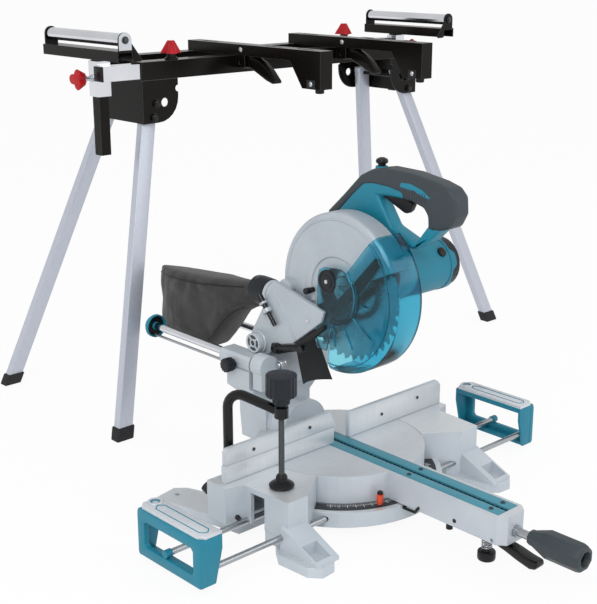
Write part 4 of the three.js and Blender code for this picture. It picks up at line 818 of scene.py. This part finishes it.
GUARD_FROM, GUARD_TO = -95, 51
shell = swept(BLADE, [
    (-32, 44), (-29.5, 104), (-27, 116), (-22, 122.5), (-18, 124), (27.5, 124), (27.5, 121.5), (-18.5, 121.6),
    (-21.5, 119.5), (-25, 114.5), (-27.3, 103), (-29.8, 44),
], GUARD_FROM, GUARD_TO, 56)
HUB_PLATE = [*frontwise(BLADE, 46, -90, GUARD_TO, 24), (-30, 374), (4, 372), (14, 367), (18, 356), (19, 300),
             (22, 254), (18, 244), (-2, 243)]
far_sheet = slab("x", (25.3, 27.5), [*frontwise(BLADE, 123.4, GUARD_FROM, GUARD_TO, 36),
                                     *frontwise(BLADE, 52, 60, 250, 20)], 0.4, steps=1)
piece("clear_lower_guard", together(shell, slab("x", (-32, -29.8), HUB_PLATE, 0.5, steps=1), far_sheet), SAW,
      guard_clear, "lower_guard", ("lower_guard",))
ribs = [
    swept(BLADE, [(-31.2, 51.3), (-33, 51.4), (-33, 52.6), (-31.2, 52.7)], GUARD_FROM, GUARD_TO, 44),
    swept(BLADE, [(-27.7, 110.4), (-29.4, 111), (-29.2, 112.2), (-27.2, 112.4)], GUARD_FROM, GUARD_TO, 44),
]
for angle, near, far in ((-60, 47, 88), (-32, 47, 96), (-4, 47, 72), (-84, 47, 80)):
    rib = block((-33, -30), (BLADE[0] - far, BLADE[0] - near), (BLADE[1] - 0.8, BLADE[1] + 0.8), 0.2)
    ribs.append(spun(rib, "X", (0, *BLADE), -angle))
piece("guard_ribs", together(*ribs), SAW, guard_clear, "lower_guard")
HUB = (-2.4, 351)
hub = turned("x", HUB, [(-31.9, 18), (-33.4, 17.6), (-34, 16.4), (-34, 14.6), (-32.9, 14), (-32.9, 10),
                        (-34, 9.4), (-34, 5), (-33, 4.4)], 40)
on_head("guard_hub_plate", hub, dark_plastic)
on_head("guard_hub_screw", turned("x", HUB, [(-32.8, 3.2), (-35, 3.2), (-35.6, 2.2)], 24), zinc)
lift_arm = together(slab("x", (-25.2, -22.8), [(-2, 309), (-14, 296), (-68, 349), (-102, 392), (-100, 400),
                                               (-92, 402), (-54, 361)], 0.6),
                    swept(BLADE, [(-24.8, 40), (-24.8, 50), (-23.2, 50), (-23.2, 40)], -100, 10, 28))
piece("guard_lift_arm", lift_arm, SAW, black_plastic, "lower_guard")

# -------------------- saw: handle
GRASP = [(66, 433), (30, 463), (-6, 497), (-29, 509), (-54, 514), (-104, 513), (-150, 506), (-170, 500),
         (-181, 490), (-183, 470), (-174, 453), (-160, 444), (-142, 426), (-112, 407), (-84, 409), (-58, 402),
         (-36, 404), (10, 401), (60, 402)]
EYE = [(-38, 476), (-60, 478), (-94, 478), (-108, 481), (-131, 475.5), (-140.5, 463), (-141.5, 448),
       (-134, 444), (-113, 417), (-67, 434)]
core = slab("x", (33.5, 61.5), GRASP, 5, holes=[EYE], steps=4)
piece("handle_core", core, SAW, teal, "head", ("handle",))
COVER = [(66, 436), (32, 467), (-4, 502), (-28, 514), (-54, 519), (-104, 518), (-152, 511), (-174, 505),
         (-186, 493), (-188, 469), (-178, 450), (-163, 444), (-146, 441), (-136, 444), (-137, 449),
         (-136, 461), (-128, 471), (-105, 477), (-92, 477), (-84, 487), (-60, 491), (-30, 492), (-12, 489),
         (12, 468), (30, 450), (50, 430)]
cover = slab("x", (32, 63), COVER, 6.5, steps=5)
on_head("handle_overmould", cover, dark_grip)
ribs = [block((31.4, 34), (y, y + 2.2), (480, 492), 0.5) for y in range(-132, -88, 5)]
on_head("handle_grip_ribs", together(*ribs), dark_grip)
inlay = slab("x", (31.6, 33.2), [(-84, 496), (-86, 502), (-104, 503), (-118, 499), (-126, 497), (-142, 487),
                                 (-136, 486), (-118, 490), (-112, 494), (-100, 494)], 0.3)
on_head("handle_inlay", inlay, teal)
pull = slab("x", (41.5, 52.5), [(-36, 484), (-40, 476), (-62, 466), (-84, 456.5), (-90, 456), (-96, 461),
                                (-100, 469), (-99, 474), (-60, 484)], 1.6, steps=3)
piece("trigger_blade", pull, SAW, black_plastic, "trigger", ("trigger",))
BUTTON = (47.5, -34)
button = turned("z", BUTTON, [(503, 5.8), (521, 5.8), (521.5, 7.5), (523, 9), (525.5, 9.2), (528, 8),
                              (530, 4)], 32)
piece("lock_off_cap", button, SAW, black_plastic, "lock_off_button", ("lock_off_button",))
collar = turned("z", BUTTON, [(511, 9.5), (516.6, 9.5), (517.7, 8.6), (517.7, 6.3), (511, 6.3)], 32,
                ring=True)
on_head("lock_off_collar", collar, teal)

# -------------------- saw: motor trim
MOTOR, MOTOR_RADIUS = (-56, 359), 41
brush = turned("y", (124, MOTOR[1]), [(MOTOR[0] - 44, 6), (MOTOR[0] - 43.2, 7.5), (MOTOR[0] - 38, 7.5)], 28)
mark = block((118.5, 129.5), (MOTOR[0] - 44.4, MOTOR[0] - 43), (MOTOR[1] - 1, MOTOR[1] + 1), 0.3)
on_head("brush_cap", spun(together(brush, mark), "X", (0, *MOTOR), -38.6), black_plastic)

BAND_STEPS = 120
bm = bmesh.new()
band = []
for i in range(BAND_STEPS):
    turn = 2 * math.pi * i / BAND_STEPS
    edge = 146 + 4 * max(-1, min(1, 2.2 * math.sin(5 * turn)))
    high, low = MOTOR_RADIUS + 0.7, MOTOR_RADIUS - 1
    section = [(138, high), (edge, high), (edge, low), (138, low)]
    band.append([bm.verts.new((x, *polar(MOTOR, radius, turn))) for x, radius in section])
for here, there in zip(band, band[1:] + band[:1]):
    for i in range(4):
        bm.faces.new((here[i], there[i], there[i - 3], here[i - 3]))
bmesh.ops.recalc_face_normals(bm, faces=bm.faces[:])
on_head("motor_wavy_band", bm, teal)

# -------------------- saw: linkage and transport pin
LINK_REAR, LINK_FRONT, SPRING = (104, 222), (44, 236), (94, 197)
bracket = together(
    slab("x", (-40.6, -36.4), [(90, 228), (94, 215), (106, 214), (114, 219), (113, 229), (100, 232)], 1.2),
    bar([(-39.5, *LINK_REAR), (-39.5, *LINK_FRONT)], 3.5),
    turned("x", LINK_REAR, [(-44, 6.5), (-41, 7), (-36, 7)], 24),
    turned("x", LINK_FRONT, [(-44, 5.5), (-41, 6), (-36, 6)], 24),
)
on_head("head_linkage", bracket, black_gloss)
on_head("linkage_spring", bar(helix("x", SPRING, 7, (-42, -30), 4), 1.2, 3), zinc)
on_head("linkage_spring_pin", turned("x", SPRING, [(-44, 3.6), (-43, 4.4), (-28, 4.4)], 20), zinc)

PIN_FROM, PIN_TO = Vector((-42, 139, 303)), Vector((-42, 103, 262))
aim = Vector((0, 1, 0)).rotation_difference((PIN_TO - PIN_FROM).normalized()).to_matrix().to_4x4()
black_rings = [rod("y", (0, 0), span, radius) for span, radius in (((0, 14.5), 5), ((17.5, 26.5), 4),
                                                                 ((32.5, 56), 3.5))]
white_rings = [turned("y", (0, 0), [(a, r - 0.8), (a + 0.8, r), (b - 0.8, r), (b, r - 0.8)], 28)
               for a, b, r in ((14, 18, 7), (26, 33, 8.5))]
for name, rings, paint in (("transport_pin", black_rings, black_gloss),
                           ("transport_pin_rings", white_rings, shell_grey)):
    shape = together(*rings)
    bmesh.ops.transform(shape, matrix=Matrix.Translation(PIN_FROM) @ aim, verts=shape.verts[:])
    on_head(name, shape, paint)

# -------------------- saw: dust outlet, bag and chute
OUTLET = (0, 294)
socket = turned("y", OUTLET, [(101, 16), (101, 18.8), (149, 18.8), (150, 21), (156, 21), (156, 16)], 40,
                ring=True)
piece("dust_socket", socket, SAW, cast_grey, "head", ("dust_nozzle",))
mouth = turned("y", OUTLET, [(156, 20), (157, 22.4), (176, 23.4), (190, 22.6), (190, 18), (156, 16)], 40,
               ring=True)
on_head("bag_mouth_ring", mouth, dark_plastic)

STATIONS = [(178, 317.5, 270.5, 23.6), (186, 317, 265, 24), (193, 305, 262, 24.5), (204, 304.4, 256, 26),
            (218, 303.2, 248, 28), (232, 302, 237, 30), (246, 300.9, 223, 32), (258, 299.9, 209, 33),
            (270, 299, 195, 33), (280, 298.2, 184, 33), (289, 297.5, 174.5, 33), (300, 296.4, 171.5, 33),
            (330, 293.9, 169.6, 33), (360, 291.4, 168, 31.6), (388, 289.2, 166.8, 28.5),
            (410, 287.4, 166, 23.5), (428, 286, 165.4, 17), (440, 285, 165, 9.5), (446, 282, 167.5, 3.4)]

# Creases in the bag's side: where each begins (y, z), its slope, length, depth and width.
CREASES = ((200, 268, -24, 60, 2.4, 5), (206, 284, -9, 70, 2.2, 6), (214, 250, -42, 62, 2.6, 5),
           (236, 226, -50, 56, 2.4, 6), (268, 262, 14, 80, 1.8, 9), (300, 214, -12, 110, 2.2, 10),
           (352, 262, -30, 70, 1.8, 9), (290, 184, 8, 90, 1.8, 7))


def creased(y, z):
    """How deep the creases press the bag in at a place on its side."""
    depth = 0
    for start_y, start_z, slope, length, deep, wide in CREASES:
        a = math.radians(slope)
        along = (y - start_y) * math.cos(a) + (z - start_z) * math.sin(a)
        away = -(y - start_y) * math.sin(a) + (z - start_z) * math.cos(a)
        window = max(0, math.sin(math.pi * min(1, max(0, along / length)))) ** 0.6
        valley, ridge = [math.exp(-((away - apart * wide) / wide) ** 2) for apart in (0, 1.7)]
        depth += deep * window * (valley - 0.7 * ridge)
    return depth


def bag_point(angle, top, bottom, half, y):
    """A point of the bag's section: round at the neck, tall and pinched at its seams further back."""
    tall = (top - bottom) / 2
    slim = min(1, max(0, (tall - 24) / 30))
    c, s = math.cos(angle), math.sin(angle)
    x = half * math.copysign(abs(c) ** (1 - 0.55 * slim), c)
    z = (top + bottom) / 2 + tall * math.copysign(abs(s) ** (1 - 0.45 * slim), s)
    side = abs(c) ** 0.8
    folds = slim * (
        2.4 * math.sin(0.05 * y + 0.05 * z + 1.3) * math.sin(0.028 * y - 0.055 * z)
        + 1.3 * math.sin(0.1 * y + 0.03 * z + 0.6)
    ) * side
    near_neck = math.exp(-((y - 222) / 24) ** 2)
    folds += near_neck * 2.2 * math.sin(6 * angle + 0.07 * y) * side
    folds -= creased(y, z) * side
    hollow = 3 * slim * side * math.exp(-((z - (top + bottom) / 2) / (0.6 * tall)) ** 2)
    return Vector((x - math.copysign(1.2 + hollow, c) + math.copysign(folds, c) * 0.8, y, z))


BAG_ROUND, BAG_STEP = 56, 6
rounds = []
for here, there in zip(STATIONS, STATIONS[1:]):
    parts = max(1, round((there[0] - here[0]) / BAG_STEP))
    rounds += [tuple(a + (b - a) * i / parts for a, b in zip(here, there)) for i in range(parts)]
rounds.append(STATIONS[-1])
bm = bmesh.new()
rings = []
for y, top, bottom, half in rounds:
    made = bmesh.ops.create_circle(bm, cap_ends=False, radius=1, segments=BAG_ROUND)["verts"]
    for i, vert in enumerate(made):
        vert.co = bag_point(2 * math.pi * i / BAG_ROUND, top, bottom, half, y)
    rings.append(made)
for near, far in zip(rings, rings[1:]):
    edges = {e for v in (*near, *far) for e in v.link_edges if not e.link_faces or len(e.link_faces) < 2}
    edges = [e for e in edges
             if (e.verts[0] in near and e.verts[1] in near) or (e.verts[0] in far and e.verts[1] in far)]
    bmesh.ops.bridge_loops(bm, edges=edges)
bmesh.ops.contextual_create(bm, geom=list({e for v in rings[-1] for e in v.link_edges
                                           if len(e.link_faces) == 1}))
bmesh.ops.subdivide_edges(bm, edges=bm.edges[:], cuts=1, use_grid_fill=True, smooth=0.4)
piece("cloth_bag", bm, SAW, bag_cloth, "head", ("dust_bag",), smooth=80)
piping = []
for low, high in ((224, 136), (316, 404)):
    out_low, out_high = [[bag_point(math.radians(a), *row[1:], row[0]) for row in STATIONS[3:]]
                         for a in (low, high)]
    last = STATIONS[-1]
    rear = [bag_point(math.radians(low + (high - low) * i / 6), *last[1:], last[0]) for i in range(1, 6)]
    piping.append(bar([*out_low, *rear, *reversed(out_high)], 1.3, 3))
on_head("bag_piping", together(*piping), black_plastic)

chute = bmesh.new()
ROWS, COLUMNS, THICK = 14, 12, 2
front, rear = skins = [[], []]
for skin, back in zip(skins, (0, THICK)):
    for i in range(ROWS + 1):
        t = i / ROWS
        across = [2 * j / COLUMNS - 1 for j in range(COLUMNS + 1)]
        skin.append([chute.verts.new((s * (20 + 11 * t), 84 - 26 * t ** 1.3 - 10 * t * s * s + back,
                                      268 - (96 + 4 * s) * t)) for s in across])
for skin in skins:
    for i in range(ROWS):
        for j in range(COLUMNS):
            chute.faces.new((skin[i][j], skin[i][j + 1], skin[i + 1][j + 1], skin[i + 1][j]))
for i in range(ROWS):
    for j in (0, COLUMNS):
        chute.faces.new((front[i][j], front[i + 1][j], rear[i + 1][j], rear[i][j]))
for j in range(COLUMNS):
    for i in (0, ROWS):
        chute.faces.new((front[i][j], front[i][j + 1], rear[i][j + 1], rear[i][j]))
bmesh.ops.recalc_face_normals(chute, faces=chute.faces[:])
flap = piece("rubber_chute", chute, SAW, rubber, "head", ("chip_flap",))
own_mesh(flap)

# -------------------- floor and light
PAPER_GLOW = 0.92  # how much of the paper is its own white, as it is seen
WALL_GLOW = 0.76  # how bright the studio is where it isn't seen
floor_shape = bmesh.new()
bmesh.ops.create_grid(floor_shape, x_segments=1, y_segments=1, size=60)
floor_mesh = bpy.data.meshes.new("floor")
floor_shape.to_mesh(floor_mesh)
floor_shape.free()
floor = bpy.data.objects.new("floor", floor_mesh)
bpy.context.scene.collection.objects.link(floor)
paper, tree, inputs = plain("white_paper", Base_Color=(0.9, 0.9, 0.9, 1), Roughness=1, Specular_IOR_Level=0)
matt = tree.nodes["Principled BSDF"].outputs["BSDF"]
white = add(tree, "Emission", {"Strength": 1})
share = add(tree, "Math", {0: rays(tree, "Camera", "Glossy", "Transmission"), 1: PAPER_GLOW},
            operation="MULTIPLY")
glowing = add(tree, "MixShader", {"Fac": share, 1: matt, 2: white})
fill(tree, tree.nodes["Material Output"].inputs["Surface"], glowing)
floor_mesh.materials.append(paper)

world = bpy.data.worlds.new("studio")
bpy.context.scene.world = world
world.use_nodes = True
tree = world.node_tree
sky = tree.nodes["Background"].inputs
sky["Color"].default_value = (1, 1, 1, 1)
seen = rays(tree, "Camera", "Transmission")
fill(tree, sky["Strength"], add(tree, "MapRange", {"Value": seen, "To Min": WALL_GLOW, "To Max": 1}))


def softbox(name, place, size, watts):
    """A square lamp that looks at the machines."""
    data = bpy.data.lights.new(name, "AREA")
    data.shape = "RECTANGLE"
    data.size = data.size_y = size
    data.energy = watts
    lamp = bpy.data.objects.new(name, data)
    lamp.location = place
    lamp.rotation_euler = (Vector((0, 0, 0.3)) - Vector(place)).to_track_quat("-Z", "Y").to_euler()
    bpy.context.scene.collection.objects.link(lamp)


softbox("key_light", (-2.6, -1.6, 2.6), 1.6, 47)
softbox("fill_light", (1.4, -2.8, 1.8), 2, 18)
